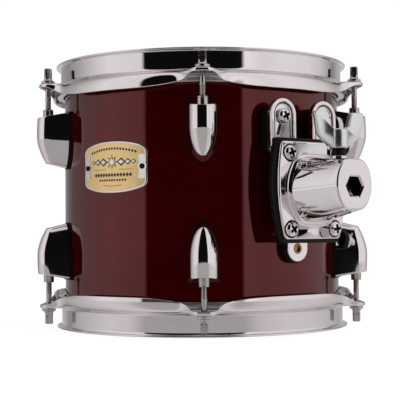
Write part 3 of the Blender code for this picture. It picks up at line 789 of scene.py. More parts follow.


# Lugs. Heights are from the middle of the shell.

# The lug pads are real, but drawn thicker than the real ones so that their black edge adds painted contact
# shade round each lug's foot.
GASKET_AND_SHADE_THICKNESS = 2.2 * MM
GASKET_MARGIN = 0.8 * MM
LUG_ROD_END = 74.5 * MM
LUG_TIP_END = 24.8 * MM
LUG_BASE_HALF = 13.0 * MM
LUG_CROWN = 11.6 * MM
LUG_BASE_RADIUS = SHELL_RADIUS + GASKET_AND_SHADE_THICKNESS + 0.4 * MM
LUG_TIP_SLOPE = 0.24
LUG_ROD_SLOPE = -0.19
LUG_STRAIGHT_FROM = 0.6
LUG_BORE = 4.9 * MM
LUG_PEAK = 0.58
LUG_FLANK_DEG = 74.0
FLANK_STEPS = 6
CROWN_STEPS = 12
TIP_STEPS = 26


def lug_width(position):
    """Width share of the bullet outline, from its tip (0) to the rod end (1)."""
    near = max(0.0, 1 - position / LUG_STRAIGHT_FROM)
    return max(0.02, (1 - near**2.1) ** 0.5)


def lug_reach(position):
    """How far the face stands out, as a share of the lug's full depth."""
    if position < LUG_PEAK:
        return 1 - 0.31 * (1 - position / LUG_PEAK) ** 1.9
    return 1 - 0.025 * ((position - LUG_PEAK) / (1 - LUG_PEAK)) ** 2


def lug_section(width, depth):
    """Half of a slice, as (x, distance out from the foot), from the foot to the crown."""
    crown = LUG_CROWN * width
    base = LUG_BASE_HALF * width
    angles = [math.radians(LUG_FLANK_DEG * (1 - step / CROWN_STEPS)) for step in range(CROWN_STEPS + 1)]
    top = [(crown * math.sin(angle), depth - crown * (1 - math.cos(angle))) for angle in angles]
    end_x, end_out = top[0]
    shares = [step / FLANK_STEPS for step in range(FLANK_STEPS)]
    return [(base + (end_x - base) * share, end_out * share) for share in shares] + top


def lug_loop(position, shrink=0.0):
    """A slice of the lug, leaning with its ends, with its foot on the gasket."""
    height = LUG_TIP_END + (LUG_ROD_END - LUG_TIP_END) * position
    slope = LUG_TIP_SLOPE + (LUG_ROD_SLOPE - LUG_TIP_SLOPE) * position
    depth = (LUG_REACH - LUG_BASE_RADIUS) * lug_reach(position) - shrink
    half = lug_section(lug_width(position) * (1 - shrink / LUG_BASE_HALF), depth)
    right = []
    for x, out in half:
        foot = math.sqrt(LUG_BASE_RADIUS**2 - x**2) - LUG_BASE_RADIUS
        radius = LUG_BASE_RADIUS + out + foot * (1 - out / depth)
        right.append(Vector((x, -radius, height + slope * out)))
    left = [Vector((-point.x, point.y, point.z)) for point in reversed(right[:-1])]
    across = [-right[0].x * share for share in (0.66, 0.33, 0.0, -0.33, -0.66)]
    return right + left + [Vector((x, -math.sqrt(LUG_BASE_RADIUS**2 - x**2), height)) for x in across]


def make_lug_mesh():
    tip = [LUG_STRAIGHT_FROM * (1 - math.cos(math.pi / 2 * step / TIP_STEPS)) for step in range(TIP_STEPS)]
    body = [LUG_STRAIGHT_FROM + (0.994 - LUG_STRAIGHT_FROM) * step / 12 for step in range(13)]
    loops = [lug_loop(position) for position in tip + body]
    end = [(0.997, 0.12 * MM), (0.9995, 0.4 * MM), (1.0, 0.8 * MM)]
    loops += [lug_loop(position, shrink) for position, shrink in end]
    return loft("lug_pattern", loops, CHROME, True, 42)


def lug_bore_cutter(angle_deg, upside_down):
    # The cutter carries the black rubber material, so the bore's wall is painted black as painted shade.
    high = LUG_ROD_END - EDGE + 5 * MM
    cutter = turned_solid("lug_bore", [(LUG_BORE, high - 24 * MM), (LUG_BORE, high)], 40, BLACK_RUBBER_AND_SHADE)
    return at_rod(cutter, angle_deg, upside_down)


def make_lug_gasket_mesh():
    """A thin pad whose outline stands a little outside the lug's foot. It is drawn thicker than the real pad,
    so that its black edge also adds painted contact shade round the foot.
    """
    inner = SHELL_RADIUS + 0.2 * MM
    outer = SHELL_RADIUS + 0.2 * MM + GASKET_AND_SHADE_THICKNESS
    loops = []
    start = LUG_STRAIGHT_FROM
    positions = [start * (1 - math.cos(math.pi / 2 * step / 18)) for step in range(19)]
    positions += [start + (1 - start) * step / 6 for step in range(1, 7)]
    shares = [step / 4 - 1 for step in range(9)]
    low = LUG_TIP_END - GASKET_MARGIN
    length = LUG_ROD_END - LUG_TIP_END + 2 * GASKET_MARGIN
    for position in positions:
        half = (LUG_BASE_HALF + GASKET_MARGIN) * lug_width(position)
        height = low + length * position
        trim = half - 0.35 * MM if half > 1 * MM else half
        foot = [(half * share, inner) for share in shares]
        face = [(-trim * share, outer) for share in shares]
        loops.append([Vector((x, -math.sqrt(radius**2 - x**2), height)) for x, radius in foot + face])
    return loft("gasket_pattern", loops, BLACK_RUBBER_AND_SHADE, True, 35)


def make_lugs_and_rods():
    lug, pad, nut, rod = make_lug_mesh(), make_lug_gasket_mesh(), make_nut_mesh(), make_rod_mesh()
    on_wall(lug, FIRST_ROD_DEG)
    cut(lug, lug_bore_cutter(FIRST_ROD_DEG, False))
    pieces = (
        (lug, on_wall, "lug_cast", "drum", "chrome", "lug"),
        (pad, on_wall, "lug_pad", "drum", "black_rubber", "lug_gasket"),
        (nut, at_rod, "nut", "drum", "plated_steel", "swivel_nut"),
        (rod, at_rod, "rod", None, "plated_steel", "tension_rod"),
    )
    for side, upside_down in (("batter", False), ("resonant", True)):
        for number in range(1, ROD_COUNT + 1):
            angle = FIRST_ROD_DEG + ROD_STEP_DEG * (number - 1)
            for pattern, place, name, body, slot, stands_for in pieces:
                piece = place(copy_of(pattern, f"{side}_{name}_{number}"), angle, upside_down)
                done(piece, body or f"{side}_rod_{number}", slot, f"{side}_{stands_for}_{number}")
    for pattern in (lug, pad, nut, rod):
        bpy.data.objects.remove(pattern)


# Badge

BADGE_HALF_DEG = 16.3
BADGE_HALF_HEIGHT = 21.8 * MM
BADGE_END_HALF = 15.5 * MM
BADGE_THICKNESS = 0.9 * MM
BADGE_BACK = SHELL_RADIUS + 0.2 * MM
BADGE_WAIST = 1.7 * MM
FIELD_OUT = BADGE_THICKNESS - 0.32 * MM
MARK_OUT = FIELD_OUT + 0.16 * MM
PIN_OFFSET = 30.3


def place_of(node_name):
    """The middle of a node: its angle round the drum and its height from the shell's middle."""
    low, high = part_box(node_name)
    corners = [vertex.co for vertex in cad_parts[node_name].data.vertices]
    middle = sum(corners, Vector()) / len(corners) - AXIS
    return math.degrees(math.atan2(middle.y, middle.x)), (low.z + high.z) / 2 - MID_Z


BADGE_DEG, BADGE_CENTRE = place_of("badge")


def bent(u, v, out):
    """A point on the badge: u and v along its surface from its middle, out from its back."""
    angle = -90 + math.degrees(u / SHELL_RADIUS)
    return polar(BADGE_BACK + out, angle, BADGE_CENTRE + v)


def badge_outline():
    """Crowned top and bottom, round corners, and sides drawn in towards the pins."""
    half = math.radians(BADGE_HALF_DEG) * SHELL_RADIUS
    crown = BADGE_HALF_HEIGHT - BADGE_END_HALF
    outline = []
    for sign in (1, -1):
        for step in range(41):
            share = 1 - 2 * step / 40
            height = BADGE_END_HALF + crown * (1 - abs(share) ** 2.4)
            outline.append((sign * share * half, sign * height))
        for step in range(1, 12):
            share = 1 - 2 * step / 12
            dip = BADGE_WAIST * (1 - abs(share) ** 1.6)
            outline.append((-sign * (half - dip), sign * share * BADGE_END_HALF))
    return soften(outline, 6)


def soften(outline, passes):
    """Rounds the corners of a dense outline."""
    points = [Vector(point) for point in outline]
    for _ in range(passes):
        count = len(points)
        points = [points[i] * 0.5 + (points[i - 1] + points[(i + 1) % count]) * 0.25 for i in range(count)]
    return points


def plaque(name, outline, stations, material):
    """A bent plate from (scale, out) stations, from its outer foot to its middle."""
    loops = [[bent(point.x * scale, point.y * scale, out) for point in outline] for scale, out in stations]
    return loft(name, loops, material, True, 40)


def ornament(points, low, high, material):
    """A raised mark from an outline in millimetres on the badge."""
    loops = [[bent(u * MM, v * MM, out) for u, v in points] for out in (low, high)]
    return loft("ornament", loops, material, True, 30)


def inked(points):
    return ornament(points, FIELD_OUT, MARK_OUT, INK)


def silvered(points):
    return ornament(points, MARK_OUT, MARK_OUT + 0.12 * MM, SILVER)


def lozenge(u, v, half_u, half_v):
    return [(u - half_u, v), (u, v + half_v), (u + half_u, v), (u, v - half_v)]


def disc(u, v, radius, count=28):
    return [(u + x, v + z) for x, z in arc(0, 0, radius, 0, 360 - 360 / count, count - 1)]


def star(u, v, outer, inner, rays):
    points = []
    for step in range(2 * rays):
        reach = inner if step % 2 else outer
        angle = math.pi * step / rays + math.pi / 2
        points.append((u + reach * math.cos(angle), v + reach * math.sin(angle)))
    return points


def rule(from_u, to_u, v, thickness, sag=0.0):
    """A thin line in short pieces, so that it follows the curve of the plate."""
    half = thickness / 2
    upper = []
    lower = []
    for step in range(13):
        share = step / 6 - 1
        u = from_u + (to_u - from_u) * step / 12
        middle = v + sag * (1 - share * share)
        upper.append((u, middle + half))
        lower.append((u, middle - half))
    return upper + lower[::-1]


def make_badge_plate():
    """The plate: a silver border round a sunk gold field."""
    top = BADGE_THICKNESS
    stations = [(1.0, 0), (1.0, top - 0.3 * MM), (0.995, top - 0.08 * MM), (0.985, top), (0.945, top)]
    stations += [(0.94, top - 0.06 * MM)]
    stations += [(scale, FIELD_OUT) for scale in (0.936, 0.8, 0.6, 0.4, 0.2, 0.03)]
    plate = plaque("badge_plate", badge_outline(), stations, SILVER)
    plate.data.materials.append(GOLD)
    for polygon in plate.data.polygons:
        centre, normal = polygon.center, polygon.normal
        out = math.hypot(centre.x, centre.y) - BADGE_BACK
        faces_out = normal.x * centre.x + normal.y * centre.y > 0.9 * BADGE_BACK
        if abs(out - FIELD_OUT) < 0.09 * MM and faces_out:
            polygon.material_index = 1
    return plate


def make_badge_marks():
    """Plain ornaments where the maker's words would be: a star, lozenges and lines."""
    marks = []
    for index in range(-8, 9):
        share = index / 8
        marks.append(inked(lozenge(24 * share, 12.6 + 3.2 * (1 - share * share), 1.25, 1.3)))
    tie = ((26.4, 9.6), (29.5, 10.6), (32.6, 9.8), (33.1, 0))
    tie += ((32.6, -9.8), (29.5, -10.6), (26.4, -9.6), (28.2, 0))
    for sign in (1, -1):
        for place, size in ((9.8, 4.6), (16.6, 3.6), (22.2, 2.6)):
            marks.append(inked(lozenge(sign * place, 4.4, size, size * 0.78)))
            marks.append(silvered(lozenge(sign * place, 4.4, size * 0.62, size * 0.42)))
        marks.append(inked(rule(sign * 7, sign * 22, -2.0, 0.35)))
        outline = [(sign * u, v) for u, v in tie][::sign]
        marks.append(ornament(outline, FIELD_OUT, FIELD_OUT + 0.14 * MM, SILVER))
    marks.append(inked(star(0, 4.4, 6.4, 2.8, 8)))
    marks.append(silvered(star(0, 4.4, 4.4, 1.8, 8)))
    marks += [inked(lozenge(3.2 * index, -6.6, 1.55, 1.9)) for index in range(-6, 7)]
    marks += [inked(lozenge(2.8 * index, -11.0, 1.2, 1.2)) for index in range(-5, 6)]
    marks.append(inked(rule(-10, 10, -15.2, 0.45, -0.8)))
    return merge("badge_ornament", marks)


def make_badge_pins():
    """A dark round-headed pin on a silver boss at each end."""
    top = BADGE_THICKNESS
    bosses = []
    for sign in (1, -1):
        spot = sign * PIN_OFFSET
        bosses.append(ornament(disc(spot, 0, 3.9), FIELD_OUT - 0.1 * MM, top + 0.05 * MM, SILVER))
        for radius, low, high in ((2.3, -0.1, 0.6), (2.0, 0.9, 0.81), (1.2, 1.25, 0.9)):
            bosses.append(ornament(disc(spot, 0, radius), top + low * MM, top + high * MM, BLACK_RUBBER_AND_SHADE))
    return merge("badge_pins", bosses)


def make_badge():
    done(on_wall(make_badge_plate(), BADGE_DEG), "drum", "badge_gold", "badge")
    done(on_wall(make_badge_marks(), BADGE_DEG), "drum", "badge_gold")
    done(on_wall(make_badge_pins(), BADGE_DEG), "drum", "badge_gold")


# Screws with a cross recess, drawn with the head's seat at z 0 and the head towards +z


def make_screw_mesh(name, radius, height, shank_radius, shank_length):
    profile = [(0.3 * MM, -shank_length), (shank_radius, -shank_length + 0.4 * MM), (shank_radius, 0)]
    profile += [(radius - 0.2 * MM, 0), (radius, 0.25 * MM)]
    dome = ((1.0, 0.34), (0.95, 0.56), (0.84, 0.77), (0.66, 0.92), (0.42, 0.99), (0.1, 1.0))
    profile += [(radius * across, height * up) for across, up in dome]
    screw = turned_solid(name, profile, 48, CHROME, 40)
    # The cross recess and its middle are cut with the black rubber material, so the recess walls are painted
    # black as painted shade.
    cutters = []
    arm = radius * 0.8
    width = radius * 0.19
    for turn in (0, 90):
        loops = []
        spin = Matrix.Rotation(math.radians(turn), 2)
        for share, level in ((0.45, height - 2.2 * MM), (1.0, height + 1 * MM)):
            reach = arm * share
            corners = ((reach, width), (-reach, width), (-reach, -width), (reach, -width))
            loops.append([Vector((*(spin @ Vector(corner)), level)) for corner in corners])
        cutters.append(loft("recess", loops, BLACK_RUBBER_AND_SHADE))
    middle = [(0.3 * MM, height - 2.4 * MM), (arm * 0.42, height + 0.8 * MM)]
    cutters.append(turned_solid("recess_middle", middle, 16, BLACK_RUBBER_AND_SHADE))
    return cut(screw, *cutters)


def set_screw(pattern, name, angle_deg, x, reach, z, turn_deg, inward=False):
    """A copy of a screw on the wall at (x, z), its head's seat at this reach and facing outwards."""
    screw = copy_of(pattern, name)
    face = Matrix.Rotation(math.radians(-90 if inward else 90), 4, "X")
    place = Matrix.Translation((x, -reach, z)) @ face @ turn_z(turn_deg)
    screw.matrix_world = DRUM_PLACE @ turn_z(angle_deg + 90) @ place
    return screw


# Rim mount, in the wall frame of the mount's angle

SEAT_FRONT = AXIS.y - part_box("mount_seat")[0].y
BRACKET_FRONT = AXIS.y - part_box("mount_bracket")[0].y
PLATE_BACK = 152.0 * MM
PLATE_FRONT = 156.0 * MM
PLATE_HALF = (RECEIVER_HIGH.x - RECEIVER_LOW.x) / 2
PLATE_WIDEST = 6.5 * MM
PLATE_CURVE = 0.0033 / MM
PLATE_GASKET_MARGIN = 3.3 * MM
TAB_OFFSET = 22.5 * MM
TAB_CENTRE = 63.6 * MM
TAB_RADIUS = 13.5 * MM
TAB_RECESS = 1.9 * MM
TAB_RIM = 3.3 * MM
BRACKET_HALF = 30.0 * MM
BRACKET_BOTTOM = -36.5 * MM
SEAT_HALF = 15.0 * MM
SEAT_INSET = 5.0 * MM
TAB_FOOT = PLATE_TOP - 6.0 * MM
TAB_NECK = PLATE_TOP - 14.0 * MM
LOW_TAB_CENTRE = -47.6 * MM
LOW_TAB_RADIUS = 11.0 * MM
LOW_TAB_FRONT = 135.5 * MM
LOW_TAB_BACK = 132.8 * MM
TAB_HOLE_RADIUS = 4.0 * MM
BARREL_BASE_HALF = Vector((27.5, 28.0)) * MM
BARREL_FACE_HALF = Vector((19.0, 20.6)) * MM
BARREL_BASE_CENTRE = 1.4 * MM
BARREL_FACE_CENTRE = 4.2 * MM
BARREL_FLATNESS = 1.12
BARREL_EDGE = 1.5 * MM
BARREL_SIDES = 96
SOCKET_ACROSS_FLATS = 15.4 * MM
SOCKET_CENTRE = 2.6 * MM
SOCKET_FLOOR = 160.5 * MM
POCKET_TOP = 16.9 * MM
COUNTERBORE_FLOOR = 23.9 * MM
SLEEVE_ROOM = 0.35 * MM
SCREW_SPOTS = ((-25.0, 31.4), (25.0, 31.4), (-24.0, -31.2), (24.0, -31.2))
SCREW_HEAD_RADIUS = 6.4 * MM
SCREW_HEAD = 3.2 * MM
SCREW_TURNS = (20, -12, 38, 8)


def on_shell(x, z, extra=0.0):
    """The point of the shell's surface behind (x, z) of the wall frame."""
    radius = SHELL_RADIUS + extra
    return Vector((x, -math.sqrt(radius**2 - x**2), z))


def bracket_outline(half, radius, bottom, corner=2.5 * MM):
    """A body this half wide, with two round tabs of this radius on top."""
    shoulder = PLATE_TOP + 3 * MM
    side = bottom + 20 * MM
    outline = rounded([(-half, side), (-half, bottom), (half, bottom), (half, side)], corner, 5, False)
    outline = [(point.x, point.y) for point in outline]
    outline += [(half, TAB_NECK), (TAB_OFFSET + radius, TAB_FOOT)]
    outline += arc(TAB_OFFSET, TAB_CENTRE, radius, 0, 180, 32)
    outline += [(TAB_OFFSET - radius, shoulder), (radius - TAB_OFFSET, shoulder)]
    outline += arc(-TAB_OFFSET, TAB_CENTRE, radius, 0, 180, 32)
    outline += [(-TAB_OFFSET - radius, TAB_FOOT), (-half, TAB_NECK)]
    return outline


def make_seat():
    """The rubber block between the bracket and the shell, and the pad under the low tab."""
    low_half = LOW_TAB_RADIUS + 1.6 * MM
    low_top = BRACKET_BOTTOM + 7 * MM
    low = arc(0, LOW_TAB_CENTRE, low_half, 180, 360, 40) + [(low_half, low_top), (-low_half, low_top)]
    block = bracket_outline(SEAT_HALF, TAB_RADIUS - SEAT_INSET, BRACKET_BOTTOM + 4.6 * MM)
    parts = []
    shapes = (("seat_block", block, SEAT_FRONT), ("seat_low", low, LOW_TAB_BACK - 0.2 * MM))
    for name, outline, front in shapes:
        middle = sum(z for _, z in outline) / len(outline)
        loops = [[on_shell(x, z, 0.1 * MM) for x, z in outline]]
        for share, back in ((1.0, 0.9), (1.0, 0.55), (0.995, 0.2), (0.985, 0.0)):
            reach = front - back * MM
            loops.append([Vector((x * share, -reach, middle + (z - middle) * share)) for x, z in outline])
        parts.append(loft(name, loops, BLACK_RUBBER_AND_SHADE, True, 40))
    seat = on_wall(merge("seat_rubber", parts), MOUNT_DEG)
    return done(seat, "drum", "black_rubber", "mount_seat")


def make_tab_band(centre_x, radius, width, top, material):
    """A band that runs up one side of a tab, over its round end and down the other."""
    foot = PLATE_TOP - 4 * MM
    round_end = arc(centre_x, TAB_CENTRE, radius, 0, 180, 40)
    path = [(x, z, 180 * step / 40) for step, (x, z) in enumerate(round_end)]
    path = [(centre_x + radius, foot, 0)] + path + [(centre_x - radius, foot, 180)]
    low = BRACKET_FRONT - TAB_RECESS - 0.5 * MM
    half = width / 2
    soft = min(0.7 * MM, width / 4)
    section = [(-half, low), (-half, top - soft), (-half + soft / 3, top - soft / 3), (-half + soft, top)]
    section += [(half - soft, top), (half - soft / 3, top - soft / 3), (half, top - soft), (half, low)]
    loops = []
    for x, z, angle in path:
        out_x, out_z = math.cos(math.radians(angle)), math.sin(math.radians(angle))
        loops.append([Vector((x + out_x * across, -reach, z + out_z * across)) for across, reach in section])
    return loft("tab_band", loops, material, True, 35)


def make_tab_bands(centre_x):
    """A wide raised rim, a black strip inside it as painted shade in the groove, and a thin second rim."""
    recess = BRACKET_FRONT - TAB_RECESS
    return [
        make_tab_band(centre_x, TAB_RADIUS - TAB_RIM / 2, TAB_RIM, BRACKET_FRONT, CHROME),
        # Black strip that stands for the shade in the groove inside the rim
        make_tab_band(centre_x, TAB_RADIUS - TAB_RIM - 0.6 * MM, 1.3 * MM, recess + 0.12 * MM, BLACK_RUBBER_AND_SHADE),
        make_tab_band(centre_x, TAB_RADIUS - TAB_RIM - 1.7 * MM, 1.0 * MM, recess + 0.9 * MM, CHROME),
    ]


def make_low_tab(recess):
    """The tab below the receiver, with its hole, and the web that joins it to the bracket's face."""
    outline = arc(0, LOW_TAB_CENTRE, LOW_TAB_RADIUS, 180, 360, 48)
    outline += [(LOW_TAB_RADIUS, BRACKET_BOTTOM + 3 * MM), (-LOW_TAB_RADIUS, BRACKET_BOTTOM + 3 * MM)]
    tab = prism("low_tab", outline, LOW_TAB_FRONT, LOW_TAB_BACK, CHROME)
    circle = arc(0, LOW_TAB_CENTRE, TAB_HOLE_RADIUS + 0.1 * MM, 0, 350, 35)
    cut(tab, prism("tab_hole", circle, 150 * MM, 125 * MM, CHROME))
    bevel(tab, 0.6 * MM, 3)
    half = LOW_TAB_RADIUS - 0.4 * MM
    low = BRACKET_BOTTOM + 1.6 * MM
    high = low + 2.6 * MM
    outline = [(-half, low), (half, low), (half, high), (-half, high)]
    web = prism("web", outline, recess - 0.5 * MM, LOW_TAB_BACK + 0.5 * MM, CHROME)
    return [tab, bevel(web, 0.4 * MM, 2)]


def make_tab_insert():
    """The brass ring in the low tab's hole, closed at its back."""
    bore = TAB_HOLE_RADIUS - 1.1 * MM
    back = 127.5 * MM
    front = LOW_TAB_FRONT + 0.25 * MM
    profile = [(bore, back), (TAB_HOLE_RADIUS, back), (TAB_HOLE_RADIUS, front), (bore, front)]
    ring = turned_ring("insert_ring", rounded(profile, 0.3 * MM, 3), 40, BRASS)
    plug = bore + 0.1 * MM
    floor = turned_solid("insert_floor", [(plug, front - 5 * MM), (plug, front - 2.4 * MM)], 40, BRASS)
    insert = merge("tab_insert", [ring, floor])
    insert.data.transform(Matrix.Translation((0, 0, LOW_TAB_CENTRE)) @ Matrix.Rotation(math.pi / 2, 4, "X"))
    return insert


def make_bracket():
    """The bracket's recessed face with raised tab rims, and the low tab with its insert."""
    recess = BRACKET_FRONT - TAB_RECESS
    outline = bracket_outline(BRACKET_HALF, TAB_RADIUS, BRACKET_BOTTOM)
    face = bevel(prism("face", outline, recess, SEAT_FRONT + 0.2 * MM, CHROME), 0.3 * MM, 2)
    rims = make_tab_bands(TAB_OFFSET) + make_tab_bands(-TAB_OFFSET)
    bracket = on_wall(merge("bracket_pressed", [face] + make_low_tab(recess) + rims), MOUNT_DEG)
    done(bracket, "drum", "chrome", "mount_bracket")
    done(on_wall(make_tab_insert(), MOUNT_DEG), "drum", "plated_steel")


def plate_outline(margin, corner=3.0 * MM):
    """Bowed sides between a straight top and bottom, with round corners."""
    steps = 14
    sides = []
    low = PLATE_BOTTOM - margin
    high = PLATE_TOP + margin
    for step in range(steps + 1):
        height = low + (high - low) * step / steps
        sides.append((PLATE_HALF - PLATE_CURVE * (height - PLATE_WIDEST) ** 2 + margin, height))
    outline = sides + [(-x, z) for x, z in reversed(sides)]
    corners = (0, steps, steps + 1, 2 * steps + 1)
    radii = [corner if index in corners else 1.5 * MM for index in range(len(outline))]
    return [(point.x, point.y) for point in rounded(outline, radii, 4)]


def plate_stack(name, stations, material, sharp_deg=35):
    """A flat body through (reach, margin) slices of the flange's outline."""
    loops = [[Vector((x, -reach, z)) for x, z in plate_outline(margin)] for reach, margin in stations]
    return loft(name, loops, material, True, sharp_deg)


def make_receiver_gasket():
    """The pad behind the flange, with a groove round its edge."""
    low = BRACKET_FRONT + 0.2 * MM
    high = PLATE_BACK - 0.1 * MM
    stations = []
    for start, steps in (
        (low, ((0.0, -1.2), (0.2, -0.4), (0.8, 0.0))),
        ((low + high) / 2, ((-0.5, 0.0), (-0.3, -0.6), (0.1, -0.6), (0.3, -0.2))),
        (high, ((-0.9, -0.3), (-0.3, -0.7), (0.0, -1.5))),
    ):
        stations += [(start + rise * MM, PLATE_GASKET_MARGIN + margin * MM) for rise, margin in steps]
    gasket = on_wall(plate_stack("receiver_pad", stations, BLACK_RUBBER_AND_SHADE), MOUNT_DEG)
    return done(gasket, "drum", "black_rubber", "receiver_gasket")


def make_flange():
    """A plate with round edges and a slightly domed face."""
    back = [(0.0, -0.6), (0.4, 0.0), (2.1, 0.0), (2.5, -0.15), (2.8, -0.5), (3.0, -1.0)]
    dome = [(3.12, -2.0), (3.42, -4.2), (3.72, -6.6), (3.92, -9.2), (4.0, -12.0), (4.0, -12.6), (4.0, -13.4)]
    stations = [(PLATE_BACK + rise * MM, margin * MM) for rise, margin in back + dome]
    flange = plate_stack("flange", stations, CHROME)
    cutters = []
    # The recesses round the screw heads take the cutters' black rubber material, as painted shade.
    for x, z in SCREW_SPOTS:
        ring = arc(x * MM, z * MM, SCREW_HEAD_RADIUS + 1.0 * MM, 0, 354, 59)
        cutters.append(prism("recess", ring, PLATE_FRONT + 4 * MM, PLATE_FRONT - 2.3 * MM, BLACK_RUBBER_AND_SHADE))
    return cut(flange, *cutters)


def barrel_point(angle, half, centre, reach):
    lift = BARREL_FLATNESS * math.sin(angle)
    soft = lift / (1 + abs(lift) ** 16) ** (1 / 16)
    return Vector((half.x * math.cos(angle), -reach, centre + half.y * soft))


def barrel_slice(reach):
    """Half widths and centre height of the barrel this far from the drum's axis."""
    share = (reach - PLATE_FRONT) / (RECEIVER_REACH - PLATE_FRONT)
    half = BARREL_BASE_HALF.lerp(BARREL_FACE_HALF, share)
    return half, BARREL_BASE_CENTRE + (BARREL_FACE_CENTRE - BARREL_BASE_CENTRE) * share


def barrel_loop(reach, spread=0.0):
    """A slice of the barrel, spread outwards by a margin."""
    half, centre = barrel_slice(reach)
    half = half + Vector((spread, spread))
    angles = [2 * math.pi * step / BARREL_SIDES for step in range(BARREL_SIDES)]
    return [barrel_point(angle, half, centre, reach) for angle in angles]


def hex_loop(reach, spread=0.0):
    """A slice of the hexagonal socket, at the same angles as the barrel's slices."""
    apothem = SOCKET_ACROSS_FLATS / 2 + spread
    loop = []
    for step in range(BARREL_SIDES):
        angle = 2 * math.pi * step / BARREL_SIDES
        off = (angle - math.pi / 6) % (math.pi / 3)
        off = min(off, math.pi / 3 - off)
        radius = apothem / math.cos(off)
        loop.append(Vector((radius * math.cos(angle), -reach, SOCKET_CENTRE + radius * math.sin(angle))))
    return loop


def bolt_bores():
    """Cutters for the shoe's pocket, the bolt's shank and the sleeve's counterbore."""
    shoe_radius = size_of("clamp_shoe").x / 2 + 0.4 * MM
    bores = (
        (shoe_radius, SOCKET_CENTRE, POCKET_TOP),
        (BOLT_RADIUS + 0.4 * MM, POCKET_TOP - 1 * MM, HUB_BOTTOM),
        (SLEEVE_RADIUS + SLEEVE_ROOM, COUNTERBORE_FLOOR, HUB_BOTTOM),
    )
    cutters = []
    # The cutters carry the black rubber material, so the walls of the pocket, the shank bore and the
    # counterbore are painted black as painted shade.
    for radius, low, high in bores:
        cutter = turned_solid("bore", [(radius, low), (radius, high)], 48, BLACK_RUBBER_AND_SHADE)
        cutter.data.transform(BOLT_PLACE)
        cutters.append(cutter)
    return cutters


def make_barrel():
    """The tapered barrel with a stepped foot, a soft front edge and a chamfered hexagonal socket."""
    foot = ((-1.6, 3.3), (0.7, 3.2), (1.1, 2.9), (1.3, 2.4))
    loops = [barrel_loop(PLATE_FRONT + rise * MM, spread * MM) for rise, spread in foot]
    quarter = [math.pi / 2 * step / 6 for step in range(7)]
    for angle in quarter:
        reach = PLATE_FRONT + 1.4 * MM + 2.2 * MM * math.sin(angle)
        loops.append(barrel_loop(reach, 2.1 * MM * math.cos(angle) ** 2))
    length = RECEIVER_REACH - PLATE_FRONT - 3.7 * MM - BARREL_EDGE
    loops += [barrel_loop(PLATE_FRONT + 3.6 * MM + length * step / 8) for step in range(1, 8)]
    for angle in quarter:
        reach = RECEIVER_REACH - BARREL_EDGE * (1 - math.sin(angle))
        loops.append(barrel_loop(reach, -BARREL_EDGE * (1 - math.cos(angle))))
    face = loops[-1]
    rim = hex_loop(RECEIVER_REACH, 1.3 * MM)
    for share in (0.15, 0.5, 0.85):
        loops.append([here.lerp(there, share) for here, there in zip(face, rim)])
    loops += [rim, hex_loop(RECEIVER_REACH - 0.25 * MM, 0.9 * MM), hex_loop(RECEIVER_REACH - 1.2 * MM)]
    loops += [hex_loop(RECEIVER_REACH - 12 * MM), hex_loop(SOCKET_FLOOR)]
    return cut(loft("barrel", loops, CHROME, True, 28), *bolt_bores())


def make_parting_line():
    """The thin seams along the barrel's two sides."""
    pieces = []
    for side in (math.pi, 0.0):
        loops = []
        for step in range(12):
            reach = PLATE_FRONT + 4 * MM + (RECEIVER_REACH - PLATE_FRONT - 5.4 * MM) * step / 11
            half, centre = barrel_slice(reach)
            loop = []
            for turn, out in ((-0.5, -0.3), (-0.18, 0.12), (0.18, 0.12), (0.5, -0.3)):
                angle = side + turn * MM / half.x
                loop.append(barrel_point(angle, half + Vector((out, out)) * MM, centre, reach))
            loops.append(loop)
        pieces.append(loft("seam", loops, CHROME, True, 60))
    return pieces


def make_label_plate():
    """A blank raised label on the flange."""
    outline = scaled(rounded([(-18, 29.0), (15, 29.0), (15, 38.6), (-18, 38.6)], 1.4, 5))
    plate = prism("label", outline, PLATE_FRONT + 0.5 * MM, PLATE_FRONT - 1.8 * MM, SATIN)
    return bevel(plate, 0.35 * MM, 3)


def make_bolt_boss():
    """The low ring on the barrel that the bolt's sleeve goes through."""
    radius = BOLT_HIGH.x + SLEEVE_ROOM
    low, high = 20 * MM, 27.6 * MM
    profile = [(radius, low), (radius + 1.6 * MM, low), (radius + 1.2 * MM, high), (radius, high)]
    boss = turned_ring("boss", rounded(profile, [0, 0, 0.8 * MM, 0.4 * MM], 4), 64, CHROME)
    boss.data.transform(BOLT_PLACE)
    return boss


def make_receiver():
    parts = [make_flange(), make_barrel(), make_label_plate(), make_bolt_boss()] + make_parting_line()
    receiver = on_wall(merge("receiver_cast", parts), MOUNT_DEG)
    return done(receiver, "drum", "chrome", "receiver_housing")


def make_mount_screws():
    head = SCREW_HEAD + 1.6 * MM
    pattern = make_screw_mesh("flange_screw_pattern", SCREW_HEAD_RADIUS, head, 2.5 * MM, 12 * MM)
    seat = PLATE_FRONT - 2.0 * MM
    for index, (x, z) in enumerate(SCREW_SPOTS):
        name = f"flange_screw_{index + 1}"
        screw = set_screw(pattern, name, MOUNT_DEG, x * MM, seat, z * MM, SCREW_TURNS[index])
        done(screw, "drum", "plated_steel", f"receiver_screw_{index + 1}")
    seat = BRACKET_FRONT - TAB_RECESS + 0.6 * MM
    for index, x in enumerate((TAB_OFFSET, -TAB_OFFSET)):
        low = TAB_CENTRE - 1.2 * MM
        screw = set_screw(pattern, f"tab_screw_{index + 1}", MOUNT_DEG, x, seat, low, 8 + 20 * index)
        done(screw, "drum", "plated_steel")
    bpy.data.objects.remove(pattern)


# Wing bolt, on its own axis; heights are from the middle of the shell

